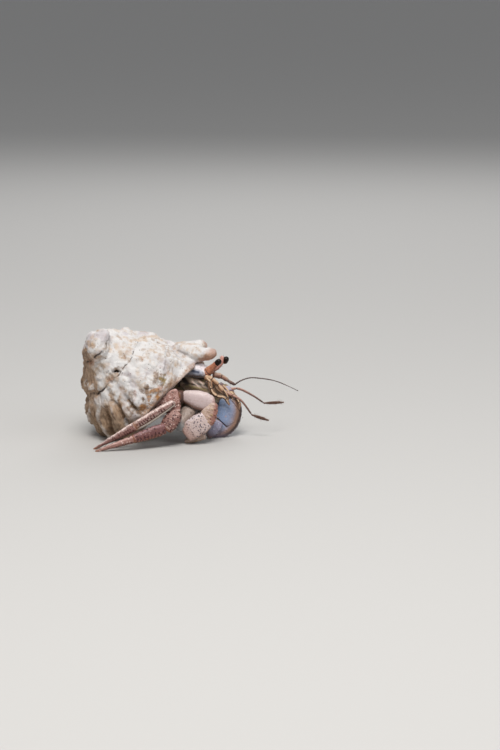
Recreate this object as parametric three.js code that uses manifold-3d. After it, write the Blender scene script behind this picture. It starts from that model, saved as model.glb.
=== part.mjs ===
// Land hermit crab (Coenobita) walking in a worn turban shell, life size, in millimetres.
// +X is the way the crab walks, +Y is its far (left) side, +Z is up and the floor is z = 0.
// Every limb segment is a rounded tapering solid between two named joints. The shell is a
// tube wound around an axis, thicker with every turn, cut flat at its mouth and hollowed.
// Where two solids would meet, the later one gives way and leaves a small gap.
import * as THREE from "three";
import { mergeVertices } from "three/addons/utils/BufferGeometryUtils.js";
import Module from "manifold-3d";

const wasm = await Module();
wasm.setup();

const vec = (x, y, z) => new THREE.Vector3(x, y, z);
const between = (a, b, t) => a.clone().lerp(b, t);

// ---- driving sizes -------------------------------------------------------------------------
const GAP = 0.3; // clear space between one solid and the next
const originShift = vec(-0.353, -5.884, 0); // from the modelling origin to the middle of the part

const shellApex = vec(-29.6, -8, 30.8); // where the winding starts
const shellAxis = vec(-0.6, -0.46, 0.65).normalize(); // towards the apex
const shellUp = vec(0.707, 0, 0.707); // the side of the axis where the mouth is reached
const SHELL_TURNS = 4;
const SHELL_GROWTH = 1.2; // power of the turn by which all sizes grow
const SHELL_RING = 9.6; // axis to tube middle at the mouth
const SHELL_TUBE = 9.6; // tube radius at the mouth
const SHELL_DROP = 27; // tube middle below the apex at the mouth
const SHELL_RAMP = 0.38; // how much the shoulder slopes
const SHELL_SINK = [3.3, 2.0]; // how far the last half turn draws in, and how far it drops
const SINK_ENDS = [3.38, 3.88]; // the turns over which it draws in
const SINK_DROPS_FROM = 3.6; // the turn at which it starts to drop
const SHELL_FRONT = 1.3; // how far the tube is drawn out to the front
const SHELL_WALL = 1.3;
const SHELL_HOLLOW_FROM = 3.45; // the turn at which the hollow ends
const SHELL_COLLAR = 3.6; // how far each turn climbs the one before it
const COLLAR_AT = [95, 60]; // the collar's angle and half width
const COLLAR_ENDS = [3.35, 3.7]; // the turns over which it fades out
const RIB_FIRST = 2.385; // the turn of the first rib
const RIB_STEP = 0.054; // turns from one rib to the next
const RIB_HEIGHT = 1.1; // crest above hollow
const RIB_ENDS = [3.65, 3.95]; // the turns over which the ribs fade out
const shellTip = vec(-25.3, -7, 27.7); // middle of the worn first turns
const SHELL_TIP_SIZE = [3.1, 4.7, 4.9];
const lipLobes = [
  [vec(0.5, 6.3, 25.2), vec(0.95, -0.15, 0.22), [4.7, 2.3, 2.1]],
  [vec(3.6, 2.4, 23.5), vec(0.96, -0.1, 0.16), [4.3, 2.3, 2.1]],
];
const mouthPoint = vec(-5.5, -12, 17.0); // a point in the plane of the mouth
const mouthNormal = vec(0.75, -0.3, -0.59).normalize(); // out of the mouth

const headLeft = vec(0.375, 0.927, 0);
const WHIP_RADIUS = 0.27; // antenna whip at its root

// Joints of the limbs, root first.
const joints = {
  clawRight: [
    vec(-1.4, -4.6, 12.2), vec(7.3, -6.7, 10.9), vec(4.6, -8.2, 6.6),
    vec(-1.2, -8.8, 2.8), vec(-1, -6.2, 0),
  ],
  clawLeft: [
    vec(5.4, 5.4, 11.2), vec(10.2, 3.8, 13.4), vec(11.5, 2.1, 11.6),
    vec(7.8, -0.4, 4.8), vec(5.4, -1.4, 0.6),
  ],
  legTwoRight: [
    vec(0.9, -3.2, 10.0), vec(-2.9, -9.8, 4.6), vec(-6.8, -12.7, 5.4),
    vec(-15.5, -15.6, 3.0), vec(-25.3, -16.8, 0),
  ],
  legThreeRight: [
    vec(-1.4, -4.4, 12.6), vec(-3.2, -7.4, 13.2), vec(-4.3, -11.3, 12.3),
    vec(-15.1, -13.8, 6.0), vec(-26.0, -14.2, 0),
  ],
  legTwoLeft: [
    vec(3.0, 7.0, 10.0), vec(3.8, 12.2, 12.6), vec(4.8, 17.0, 10.2),
    vec(3.8, 22.6, 2.6), vec(-5.2, 26.4, 0),
  ],
  legThreeLeft: [
    vec(0.8, 8.2, 10.0), vec(1.9, 14.4, 11.2), vec(0.2, 19.4, 9.4),
    vec(-4.6, 26.2, 2.0), vec(-16.0, 28.6, 0),
  ],
};

// ---- closed surfaces -----------------------------------------------------------------------
// Rings of points, each joined to the next, and each end closed by one middle point.
function ringSolid(rings, first, last) {
  const sides = rings[0].length;
  const points = [first, ...rings.flat(), last];
  const faces = [];
  for (let j = 0; j < sides; j++) {
    const k = (j + 1) % sides;
    faces.push(0, 1 + k, 1 + j);
    for (let i = 0; i + 1 < rings.length; i++) {
      const a = 1 + i * sides;
      const b = a + sides;
      faces.push(a + j, a + k, b + k, a + j, b + k, b + j);
    }
    const z = 1 + (rings.length - 1) * sides;
    faces.push(z + j, z + k, points.length - 1);
  }
  const geometry = new THREE.BufferGeometry();
  geometry.setAttribute(
    "position",
    new THREE.Float32BufferAttribute(points.flatMap((p) => [p.x, p.y, p.z]), 3),
  );
  geometry.setIndex(faces);
  return solidOf(geometry);
}

function solidOf(geometry) {
  const bare = geometry.clone();
  bare.deleteAttribute("normal");
  bare.deleteAttribute("uv");
  const merged = mergeVertices(bare, 1e-5);
  const vertProperties = new Float32Array(merged.attributes.position.array);
  const triVerts = new Uint32Array(merged.index.array);
  return new wasm.Manifold(new wasm.Mesh({ numProp: 3, vertProperties, triVerts }));
}

function geometryOf(solid) {
  const mesh = solid.getMesh();
  const geometry = new THREE.BufferGeometry();
  const points = new THREE.BufferAttribute(new Float32Array(mesh.vertProperties), 3);
  geometry.setAttribute("position", points);
  geometry.setIndex(new THREE.BufferAttribute(new Uint32Array(mesh.triVerts), 1));
  return geometry;
}

// A rounded bar along a smooth path. At share t of its length it is an ellipse of half width
// wide(t) across `side` and half depth deep(t) at right angles, and it rounds off to a point
// over the last `nose` of its length at both ends. `grow` makes it thicker and longer all round.
function bar({ path, wide, deep = wide, side = vec(0, 1, 0), sides = 8, steps = 4, nose = 0.5 }, grow = 0) {
  const curve =
    path.length > 2 ? new THREE.CatmullRomCurve3(path, false, "centripetal") : new THREE.LineCurve3(...path);
  const length = curve.getLength();
  const read = (list, t) => {
    const x = t * (list.length - 1);
    const i = Math.min(list.length - 2, Math.floor(x));
    return list[i] + (list[i + 1] - list[i]) * (x - i);
  };
  const shares = sides > 10 ? [0.12, 0.45] : [0.25];
  const roundAt = (s) => Math.sqrt(1 - (1 - s) * (1 - s));
  const stops = shares.map((s) => [(s * nose) / length, roundAt(s)]);
  for (let i = 0; i <= steps; i++) stops.push([(nose + ((length - 2 * nose) * i) / steps) / length, 1]);
  for (const s of shares.slice().reverse()) stops.push([1 - (s * nose) / length, roundAt(s)]);
  const stretch = (t) => (t - 0.5) * ((length + 2 * grow) / length) + 0.5;
  const at = (t) => {
    const u = Math.min(1, Math.max(0, t));
    const p = curve.getPointAt(u);
    return p.addScaledVector(curve.getTangentAt(u), (t - u) * length);
  };
  const rings = stops.map(([t, round]) => {
    const ahead = curve.getTangentAt(Math.min(1, Math.max(0, t)));
    const across = side.clone().addScaledVector(ahead, -side.dot(ahead)).normalize();
    const other = vec(0, 0, 0).crossVectors(ahead, across);
    const w = (read(wide, t) + grow) * round;
    const d = (read(deep, t) + grow) * round;
    const centre = at(stretch(t));
    return Array.from({ length: sides }, (_, j) => {
      const angle = ((j + 0.5) / sides) * 2 * Math.PI;
      const point = centre.clone().addScaledVector(across, w * Math.cos(angle));
      return point.addScaledVector(other, d * Math.sin(angle));
    });
  });
  return ringSolid(rings, at(stretch(0)), at(stretch(1)));
}

// A rounded lump: half sizes along three directions, the first two given.
function lump(centre, along, across, sizes, sides = 8, steps = 4, grow = 0) {
  const a = along.clone().normalize();
  const b = across.clone().addScaledVector(a, -across.dot(a)).normalize();
  const c = vec(0, 0, 0).crossVectors(a, b);
  const rings = [];
  for (let i = 1; i < steps; i++) {
    const v = (i / steps) * Math.PI;
    rings.push(
      Array.from({ length: sides }, (_, j) => {
        const u = (j / sides) * 2 * Math.PI;
        return centre.clone()
          .addScaledVector(a, -(sizes[0] + grow) * Math.cos(v))
          .addScaledVector(b, (sizes[1] + grow) * Math.sin(v) * Math.cos(u))
          .addScaledVector(c, (sizes[2] + grow) * Math.sin(v) * Math.sin(u));
      }),
    );
  }
  const tip = (k) => centre.clone().addScaledVector(a, k * (sizes[0] + grow));
  return ringSolid(rings, tip(-1), tip(1));
}

// ---- shell ---------------------------------------------------------------------------------
const shellNear = vec(0, 0, 0).crossVectors(shellUp, shellAxis).normalize();
const shellTop = vec(0, 0, 0).crossVectors(shellAxis, shellNear).normalize();

const growthAt = (turn) => Math.pow(turn / SHELL_TURNS, SHELL_GROWTH);
function outwardAt(turn) {
  const angle = turn * 2 * Math.PI;
  return shellTop.clone().multiplyScalar(Math.cos(angle)).addScaledVector(shellNear, Math.sin(angle));
}
const shellPoint = (turn, radius, height) =>
  shellApex.clone().addScaledVector(outwardAt(turn), radius).addScaledVector(shellAxis, height);

const easeUp = (low, high, x) => THREE.MathUtils.smoothstep(x, low, high);

// Height of the ribs, which cross the turn and fade out at its two edges.
function ribAt(turn, degrees) {
  if (turn < RIB_FIRST) return 0;
  const crest = Math.pow(Math.cos((Math.PI * (turn - RIB_FIRST)) / RIB_STEP), 2) - 0.55;
  const across = easeUp(-75, -30, degrees) * (1 - easeUp(52, 85, degrees));
  return RIB_HEIGHT * growthAt(turn) * crest * across * (1 - easeUp(...RIB_ENDS, turn));
}

// The rise of the upper edge, where the turn climbs the one before it.
function collarAt(turn, degrees) {
  const away = (degrees - COLLAR_AT[0]) / COLLAR_AT[1];
  const rise = Math.abs(away) < 1 ? Math.pow(Math.cos((away * Math.PI) / 2), 2) : 0;
  return SHELL_COLLAR * (1 - easeUp(...COLLAR_ENDS, turn)) * growthAt(turn) * rise;
}

// Outline of the tube at one turn: distance from the axis and height along it. A sloping ramp
// leads to the shoulder, and the tube is drawn out towards the front end.
function tubeOutline(turn, thinner, sides) {
  const g = growthAt(turn);
  const inwards = SHELL_SINK[0] * easeUp(...SINK_ENDS, turn);
  const down = SHELL_SINK[1] * Math.pow(Math.max(0, turn - SINK_DROPS_FROM) / 0.5, 2);
  return Array.from({ length: sides }, (_, j) => {
    const degrees = (j / sides) * 360 - (2 * j > sides ? 360 : 0);
    const c = Math.cos((degrees * Math.PI) / 180);
    const s = Math.sin((degrees * Math.PI) / 180);
    const radius = SHELL_TUBE * g - thinner + (thinner > 0 ? 0 : ribAt(turn, degrees));
    const out = radius * c * (c > 0 ? 1.12 - SHELL_RAMP * s : 1);
    const along = radius * s * (s < 0 ? SHELL_FRONT : 1) + collarAt(turn, degrees);
    return [
      Math.max(0.15 + thinner, SHELL_RING * g - inwards + out),
      along - SHELL_DROP * g - down,
    ];
  });
}

// A stretch of the tube between two turns. `thinner` draws its surface inwards.
function tubePart(from, to, steps, thinner = 0, sides = 16) {
  const rings = [];
  for (let i = 0; i <= steps; i++) {
    const turn = from + ((to - from) * i) / steps;
    rings.push(tubeOutline(turn, thinner, sides).map(([r, h]) => shellPoint(turn, r, h)));
  }
  const middle = (ring) => ring.reduce((m, p) => m.addScaledVector(p, 1 / ring.length), vec(0, 0, 0));
  return ringSolid(rings, middle(rings[0]), middle(rings.at(-1)));
}

const inside = mouthNormal.clone().negate();
const behindMouth = (solid, depth = 0) =>
  solid.trimByPlane([inside.x, inside.y, inside.z], inside.dot(mouthPoint) + depth);

// A longer stretch, made of short ones joined end to end.
function wound(from, to, piece, steps, thinner, sides) {
  let all = null;
  for (let t = from; t < to - 1e-6; t += piece) {
    const part = tubePart(t, Math.min(to, t + piece), steps, thinner, sides);
    all = all ? all.add(part) : part;
  }
  return all;
}

// the pillar that the tube winds around
const columella = [shellPoint(0, 0, -6.3), shellPoint(0, 0, -39.7)];

// The worn top, the ribbed winding, the flat mouth, the hollow, and two finger-like
// lobes of the lip that reach out over the head.
function makeShell(grow) {
  let body = wound(0.9, 2.415, 0.303, 3, -grow, 12)
    .add(wound(RIB_FIRST, RIB_FIRST + 34 * RIB_STEP, 6 * RIB_STEP, 12, -grow, 14))
    .add(lump(shellTip, shellAxis, shellNear, SHELL_TIP_SIZE, 10, 4, grow))
    .add(bar({ path: columella, wide: [0.5, 1.1], side: shellTop, sides: 6, steps: 1 }));
  body = behindMouth(body, -grow).subtract(wound(SHELL_HOLLOW_FROM, 4.3, 0.17, 2, SHELL_WALL + grow, 12));
  for (const [centre, along, sizes] of lipLobes) {
    body = body.add(lump(centre, along, vec(0, 1, 0), sizes, 8, 4, grow));
  }
  return body;
}

// ---- the crab ------------------------------------------------------------------------------
const solids = [];
function piece(name, make, color, roughness = 0.55) {
  solids.push({ name, solid: make(0), grown: () => make(GAP), color, roughness });
}

piece("shield", (g) => bar({
  path: [vec(-3.0, 5.0, 17.8), vec(1.0, 3.7, 18.6), vec(5.2, 2.0, 18.0)], side: headLeft,
  wide: [2.6, 3.2, 2.9, 2.0], deep: [1.9, 2.2, 2.0, 1.1], sides: 12, steps: 5, nose: 0.9,
}, g), 0xd9d0d6, 0.45);

const eyeRoot = (k) => vec(5.6, 2.0, 18.6).addScaledVector(headLeft, 1.1 * k);
const eyeTip = { Right: vec(8.3, -0.8, 21.8), Left: vec(10.2, 4.5, 21.3) };
for (const [name, k] of [["Right", -1], ["Left", 1]]) {
  const root = eyeRoot(k);
  const tip = eyeTip[name];
  const neck = between(root, tip, 0.6);
  piece(`eye${name}`, (g) => bar({
    path: [between(root, tip, 0.64), between(root, tip, 1.12)], side: headLeft,
    wide: [0.75, 0.85, 0.7], sides: 8, steps: 2, nose: 0.7,
  }, g), 0x0c0a0a, 0.12);
  piece(`eyestalk${name}`, (g) => bar({
    path: [root, neck], side: headLeft, wide: [0.95, 0.78, 0.72, 0.8], sides: 8, steps: 3, nose: 0.35,
  }, g), 0xc06a3c, 0.5);
}

// antennas: a jointed root and a thin whip
const antennaRoot = {
  Right: [vec(4.9, -0.7, 17.2), vec(6.6, -1.7, 16.9), vec(8.2, -2.1, 15.5), vec(9.3, -2.4, 13.9)],
  Left: [vec(6.9, 3.6, 17.2), vec(9.2, 4.1, 16.5), vec(11.2, 4.4, 15.1), vec(12.7, 4.6, 14.1)],
};
const antennaWhip = {
  Right: [
    vec(9.4, -2.5, 13.6), vec(10.4, -2.8, 12.5), vec(11.8, -3.2, 11.4), vec(13.8, -4.0, 9.1),
    vec(15.1, -4.6, 6.6),
  ],
  Left: [
    vec(12.9, 4.7, 14.1), vec(14.6, 5.2, 15.2), vec(17.1, 6.0, 15.8), vec(20.5, 7.0, 15.4),
    vec(24.2, 8.0, 14.5), vec(27.9, 9.0, 12.8), vec(30.8, 9.8, 11.2),
  ],
};
for (const name of ["Right", "Left"]) {
  piece(`antenna${name}`, (g) => bar({
    path: antennaRoot[name], side: headLeft, wide: [0.95, 0.75, 0.55, 0.42], sides: 8, steps: 5, nose: 0.35,
  }, g), 0xb98c6c);
  piece(`whip${name}`, (g) => bar({
    path: antennaWhip[name], wide: [WHIP_RADIUS, 0.25, 0.25, 0.25], sides: 6,
    steps: name === "Left" ? 10 : 7, nose: 0.3,
  }, g), 0x4a3a33);
}

// antennules: a bent rod that ends in a flat paddle
const antennule = {
  Right: {
    rod: [vec(8.4, 0.3, 14.1), vec(10.9, 0.0, 12.6), vec(14.3, -0.3, 10.9), vec(17.7, -0.8, 6.6)],
    tip: vec(22.4, -1.2, 5.1),
  },
  Left: {
    rod: [
      vec(8.6, 1.7, 14.1), vec(11.0, 2.0, 13.4), vec(13.7, 2.4, 13.5), vec(17.7, 2.8, 11.5),
      vec(21.1, 3.2, 9.1),
    ],
    tip: vec(26.7, 3.8, 9.2),
  },
};
for (const name of ["Right", "Left"]) {
  const { rod, tip } = antennule[name];
  piece(`antennule${name}`, (g) => bar({
    path: rod, side: headLeft, wide: [0.42, 0.36, 0.3, 0.28], sides: 6, steps: 8, nose: 0.3,
  }, g), 0x8a6a5a);
  piece(`paddle${name}`, (g) => bar({
    path: [rod.at(-1).clone().addScaledVector(tip.clone().sub(rod.at(-1)).normalize(), 0.32), tip],
    side: vec(0, 1, 0), wide: [0.26, 0.3, 0.28], deep: [0.3, 0.45, 0.26], sides: 6, steps: 4, nose: 0.3,
  }, g), 0x5c3f30);
}

// mouth limbs, folded in a loop under the head
const mouthLimb = {
  Right: [
    vec(5.4, -1.2, 15.0), vec(7.0, -2.3, 14.2), vec(8.0, -2.5, 13.0), vec(9.8, -2.1, 12.7),
    vec(10.6, -1.8, 11.2), vec(11.5, -1.6, 9.4),
  ],
  Left: [
    vec(7.8, 3.4, 13.8), vec(9.8, 3.0, 13.2), vec(11.6, 2.0, 12.6), vec(13.4, 0.2, 11.2),
    vec(14.2, -0.4, 9.6), vec(14.0, -0.6, 8.0),
  ],
};
for (const name of ["Right", "Left"]) {
  piece(`mouthLimb${name}`, (g) => bar({
    path: mouthLimb[name], side: headLeft, wide: [0.95, 0.75, 0.6, 0.5, 0.4],
    deep: [0.7, 0.55, 0.5, 0.4, 0.3], sides: 6, steps: 7, nose: 0.4,
  }, g), 0xbe9468);
}

// walking legs and claws: one shape for each segment, from the body outwards
function limb(name, list, shapes) {
  Object.entries(shapes).forEach(([label, { color, ...shape }], i) => {
    const run = list[i + 1].clone().sub(list[i]).normalize();
    const path = shape.path || [
      list[i].clone().addScaledVector(run, GAP / 2),
      list[i + 1].clone().addScaledVector(run, i === 3 ? 0 : -GAP / 2),
    ];
    piece(name + label, (g) => bar({ sides: 8, nose: 0.7, ...shape, path }, g), color);
  });
}

const legRed = 0xa9635a;
const up = vec(0, 0, 1);
const carpusPath = {
  legTwoRight: [vec(-3.1, -11.0, 9.6), vec(-6.3, -12.4, 5.2)],
  legThreeRight: [vec(-3.7, -7.6, 15.4), vec(-3.1, -9.0, 9.6)],
};
for (const hand of ["Right", "Left"]) {
  const two = `legTwo${hand}`;
  const three = `legThree${hand}`;
  const flat = vec(1, 0, 0.4);
  limb(two, joints[two], {
    Merus: { color: 0xcfc0b4, side: up, wide: [1.9, 2.1, 1.7], deep: [1.2, 1.3, 1.1] },
    Carpus: { color: legRed, side: flat, wide: [1.5, 2.2, 1.7], deep: [1, 1.3, 1.1], path: carpusPath[two] },
    Propodus: { color: legRed, side: up, wide: [1.55, 1.5, 1.1], deep: [1.2, 1.15, 0.9] },
    Dactyl: { color: legRed, side: up, wide: [0.95, 0.8, 0.5, 0.3], deep: [0.85, 0.75, 0.5, 0.3], nose: 0.4 },
  });
  limb(three, joints[three], {
    Merus: { color: 0xb9786c, side: up, wide: [1.7, 1.9, 1.7], deep: [1.1, 1.2, 1.1] },
    Carpus: { color: legRed, side: flat, wide: [1.4, 1.9, 1.6], deep: [1, 1.1, 1], path: carpusPath[three] },
    Propodus: { color: legRed, side: up, wide: [1.1, 1.4, 1.3], deep: [1.0, 1.1, 1.0] },
    Dactyl: { color: legRed, side: up, wide: [1.3, 1.15, 0.8, 0.35], deep: [1.0, 0.9, 0.6, 0.3], nose: 0.4 },
  });
}

limb("clawRight", joints.clawRight, {
  Merus: { color: 0xd8c4c4, side: up, sides: 10, wide: [2.1, 2.8, 2.3], deep: [1.3, 1.6, 1.3], nose: 1.0 },
  Carpus: {
    color: 0xc9a190, side: vec(1, 0, 0.6), wide: [1.9, 2.5, 2.4], deep: [1.4, 1.6, 1.5], nose: 0.8,
    path: [vec(6.6, -7.2, 10.9), vec(4.9, -8.0, 5.4)],
  },
  Palm: {
    color: 0xcdb9bd, side: vec(-0.4, 0, 1), sides: 10, nose: 0.9, wide: [2.4, 3.0, 2.5], deep: [1.5, 1.9, 1.5],
  },
  Finger: {
    color: 0xbda49c, side: up, wide: [1.3, 1.2, 0.6], deep: [1.0, 1.0, 0.6], nose: 0.5,
    path: [vec(4.2, -7.4, 2.6), vec(1.4, -6.9, 1.3), vec(-1.1, -6.4, 0)],
  },
});
limb("clawLeft", joints.clawLeft, {
  Merus: { color: 0x9aa0b2, side: up, wide: [1.9, 2.1, 1.8], deep: [1.4, 1.6, 1.5], nose: 0.7 },
  Carpus: { color: 0x8e96b0, side: vec(0, 1, 0), wide: [1.6, 2.0, 1.9], deep: [1.3, 1.5, 1.6], nose: 0.6 },
  Palm: {
    color: 0x8793bb, side: vec(1, 0, -0.2), sides: 12, steps: 6, nose: 0.9,
    wide: [2.3, 3.8, 3.7, 2.6, 1.0], deep: [1.7, 2.6, 2.4, 1.7, 0.7],
    path: [vec(11.4, 2.0, 11.3), vec(11.2, 1.6, 7.3), vec(9.6, 0.9, 3.4), vec(5.4, 0.2, 0.2)],
  },
  Finger: {
    color: 0x9d90b4, side: vec(1, 0, 0), wide: [1.7, 1.8, 0.7], deep: [1.0, 1.1, 0.6], nose: 0.5,
    path: [vec(7.8, -1.6, 5.2), vec(6.8, -1.9, 3.2), vec(5.3, -1.9, 0.4)],
  },
});

// body between the limbs, running back into the shell
piece("trunk", (g) => bar({
  path: [vec(-6.5, 6.2, 15.4), vec(-1.0, 4.2, 14.2), vec(4.2, 2.4, 13.6), vec(7.6, 1.4, 14.6)], side: headLeft,
  wide: [3.6, 3.7, 3.4, 2.2], deep: [3.6, 3.6, 3.3, 2.2], sides: 10, steps: 5, nose: 1.4,
}, g), 0x8b7a5e, 0.6);

// ---- fitting -------------------------------------------------------------------------------
// Each solid is cut by the ones before it, grown by the gap, and only its largest part is kept.
const rounded = (solid) => solidOf(geometryOf(solid));
const largest = (solid) => rounded(solid).decompose().sort((a, b) => b.volume() - a.volume())[0];
const aboveFloor = (solid) => solid.trimByPlane([0, 0, 1], 0);
const meets = (a, b) => [0, 1, 2].every((i) => a.min[i] < b.max[i] && b.min[i] < a.max[i]);

const shell = largest(aboveFloor(makeShell(0)));
const shellRoom = makeShell(GAP);
const placed = [];
for (const item of solids) {
  let solid = item.solid;
  const box = solid.boundingBox();
  for (const other of placed) {
    if (meets(box, other.grown.boundingBox())) solid = solid.subtract(other.grown);
  }
  solid = solid.subtract(shellRoom);
  item.solid = largest(aboveFloor(solid));
  placed.push({ grown: item.grown() });
}
const group = new THREE.Group();
group.position.copy(originShift);
function add(name, solid, color, roughness) {
  const material = new THREE.MeshStandardMaterial({ color, roughness, metalness: 0 });
  const mesh = new THREE.Mesh(geometryOf(solid), material);
  mesh.name = name;
  group.add(mesh);
}
add("shell", shell, 0xe9e2d6, 0.75);
for (const item of solids) add(item.name, item.solid, item.color, item.roughness);

export default group;
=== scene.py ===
import math

import bpy
import numpy as np
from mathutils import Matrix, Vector


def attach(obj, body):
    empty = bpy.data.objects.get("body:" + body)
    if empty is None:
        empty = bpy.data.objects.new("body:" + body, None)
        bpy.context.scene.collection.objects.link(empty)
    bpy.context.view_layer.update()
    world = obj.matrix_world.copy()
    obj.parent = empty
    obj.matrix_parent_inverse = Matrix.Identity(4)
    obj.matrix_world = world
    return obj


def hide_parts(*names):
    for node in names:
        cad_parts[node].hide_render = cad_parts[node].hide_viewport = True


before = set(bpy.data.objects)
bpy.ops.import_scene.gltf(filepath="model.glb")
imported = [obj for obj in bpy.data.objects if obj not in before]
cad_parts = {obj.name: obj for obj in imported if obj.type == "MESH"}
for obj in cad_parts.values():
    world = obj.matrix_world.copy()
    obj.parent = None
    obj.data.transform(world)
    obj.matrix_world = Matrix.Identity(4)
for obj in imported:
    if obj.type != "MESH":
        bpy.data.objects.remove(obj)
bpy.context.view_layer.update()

# A land hermit crab in a worn turban shell, life size. Shapes are worked out in millimetres in the
# modelling frame (+X the way it walks, +Y its left, +Z up) and placed in metres in the part's frame.
toPart = np.array([-0.353, -5.884, 0.0])
mm = 0.001
tipSine, tipCosine = 0.208, 0.978  # of the 12 degrees by which the front plane tips back


def vec(x, y, z):
    # a place or a direction as an array
    return np.array([x, y, z], float)


def unit(v):
    # each vector divided by its own length
    return v / np.maximum(np.linalg.norm(v, axis=-1, keepdims=True), 1e-12)


up = vec(0, 0, 1)
headLeft = vec(0.375, 0.927, 0)  # the head's own left


def smooth(low, high, x):
    # 0 below low, 1 above high, an S curve between
    t = np.clip((x - low) / (high - low), 0, 1)
    return t * t * (3 - 2 * t)


def bell(x):
    # 1 at zero, falling off as e to the minus x squared
    return np.exp(-(x**2))


def crossed(rows, columns):
    # two lists of numbers as two grids, one row for each number of the first
    return np.meshgrid(rows, columns, indexing="ij")


def circle(count):
    # evenly spaced angles once round
    return np.linspace(0, 2 * np.pi, count, False)


def hashed(cell, seed):
    # a whole-number lattice cell turned into an even random number from 0 to 1
    h = cell[..., 0] * 73856093 ^ cell[..., 1] * 19349663 ^ cell[..., 2] * 83492791 ^ (seed * 2654435761)
    h = (h ^ (h >> 13)) * 1274126177 & 0x7FFFFFFF
    h = (h ^ (h >> 15)) * 97391 & 0x7FFFFFFF
    return (h ^ (h >> 12)) % 100003 / 100003.0


def blobs(points, size, seed):
    # random values on a lattice of the given pitch, eased between its corners: -1 to 1
    q = points / size
    cell = np.floor(q).astype(np.int64)
    f = q - cell
    f = f * f * (3 - 2 * f)
    total = np.zeros(points.shape[:-1])
    for corner in np.ndindex(2, 2, 2):
        weight = np.prod(np.where(corner, f, 1 - f), axis=-1)
        total += weight * hashed(cell + np.array(corner), seed)
    return total * 2 - 1


def layered(points, size, seed, layers=4):
    # blobs of halving size added up, each half as strong as the last
    return sum(0.5**i * blobs(points, size / 2**i, seed + i) for i in range(layers))


def cells(points, size, seed):
    # one random point in the middle nine tenths of each lattice cell: distance to the nearest in
    # pitches, and that point's own number
    q = points / size
    home = np.floor(q).astype(np.int64)
    best = np.full(points.shape[:-1], 9.0)
    number = np.zeros(points.shape[:-1])
    for step in np.ndindex(3, 3, 3):
        cell = home + np.array(step) - 1
        spot = np.stack([0.5 + 0.9 * (hashed(cell, seed + k) - 0.5) for k in range(3)], -1)
        distance = np.linalg.norm(cell + spot - q, axis=-1)
        nearer = distance < best
        best = np.where(nearer, distance, best)
        number = np.where(nearer, hashed(cell, seed + 7), number)
    return best, number


def ringMesh(grid):
    # rows of rings joined by quads, each end ring closed to its own middle point, faces outward
    rows, columns = grid.shape[:2]
    points = np.concatenate([grid.reshape(-1, 3), grid[:1].mean(1), grid[-1:].mean(1)])
    ring = np.arange(columns)
    after = (ring + 1) % columns
    start = np.arange(rows - 1)[:, None] * columns
    a, b = (start + ring).ravel(), (start + after).ravel()
    quads = np.stack([a, b, b + columns, a + columns], -1)
    last = (rows - 1) * columns
    first = np.stack([after, ring, np.full(columns, rows * columns)], -1)
    final = np.stack([last + ring, last + after, np.full(columns, rows * columns + 1)], -1)
    faces = [quads, np.concatenate([first, final])]
    corner = points[quads] - points.mean(0)
    volume = np.einsum("ij,ij->i", corner[:, 0], np.cross(corner[:, 1], corner[:, 2])).sum()
    return points, faces if volume > 0 else [f[:, ::-1] for f in faces]


def ringMask(values):
    # one value, or one vector, for each point of a ringMesh, its two end points included
    flat = values.reshape((-1,) + values.shape[2:])
    return np.concatenate([flat, values[:1].mean(1), values[-1:].mean(1)])


def joined(parts):
    # several (points, faces) as one
    start = np.cumsum([0] + [len(points) for points, _ in parts])
    faces = [f + n for (_, group), n in zip(parts, start) for f in group]
    return np.concatenate([points for points, _ in parts]), faces


def rawMesh(name, points, faces):
    # a linked, smooth-shaded object, and the point at each corner of its faces
    sizes = np.concatenate([np.full(len(f), f.shape[1]) for f in faces])
    corners = np.concatenate([f.ravel() for f in faces])
    mesh = bpy.data.meshes.new(name)
    mesh.vertices.add(len(points))
    mesh.vertices.foreach_set("co", points.astype(np.float32).ravel())
    mesh.loops.add(len(corners))
    mesh.loops.foreach_set("vertex_index", corners.astype(np.int32))
    mesh.polygons.add(len(sizes))
    mesh.polygons.foreach_set("loop_start", (np.cumsum(sizes) - sizes).astype(np.int32))
    mesh.polygons.foreach_set("use_smooth", np.ones(len(sizes), bool))
    mesh.update(calc_edges=True)
    thing = bpy.data.objects.new(name, mesh)
    bpy.context.scene.collection.objects.link(thing)
    return thing, corners


def pieceOf(name, points, faces, masks, material, slot, *nodes, uv=None):
    # a finished piece: points in millimetres of the modelling frame, one value of each mask for each point
    thing, corners = rawMesh(name, (points + toPart) * mm, faces)
    for label, values in masks.items():
        values = np.asarray(values, np.float32)
        kind, field = ("FLOAT_VECTOR", "vector") if values.ndim == 2 else ("FLOAT", "value")
        thing.data.attributes.new(label, kind, "POINT").data.foreach_set(field, values.ravel())
    if uv is not None:
        layer = thing.data.uv_layers.new(name="OFBake")
        layer.data.foreach_set("uv", uv[corners].astype(np.float32).ravel())
    thing.data.materials.append(material)
    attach(thing, "root")
    if nodes:
        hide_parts(*nodes)


def vectorsOf(items, field):
    # one vector of each of a mesh's items, as the rows of an array
    values = np.zeros(len(items) * 3, np.float32)
    items.foreach_get(field, values)
    return values.reshape(-1, 3).astype(float)


def facesOf(mesh):
    # the faces as one array for each number of corners
    corners = np.zeros(len(mesh.loops), np.int32)
    sizes, starts = (np.zeros(len(mesh.polygons), np.int32) for _ in range(2))
    mesh.loops.foreach_get("vertex_index", corners)
    mesh.polygons.foreach_get("loop_total", sizes)
    mesh.polygons.foreach_get("loop_start", starts)
    return [corners[starts[sizes == n][:, None] + np.arange(n)] for n in np.unique(sizes)]


def surfaceOf(thing):
    # points, normals and faces
    mesh = thing.data
    return vectorsOf(mesh.vertices, "co"), vectorsOf(mesh.vertex_normals, "vector"), facesOf(mesh)


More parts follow.
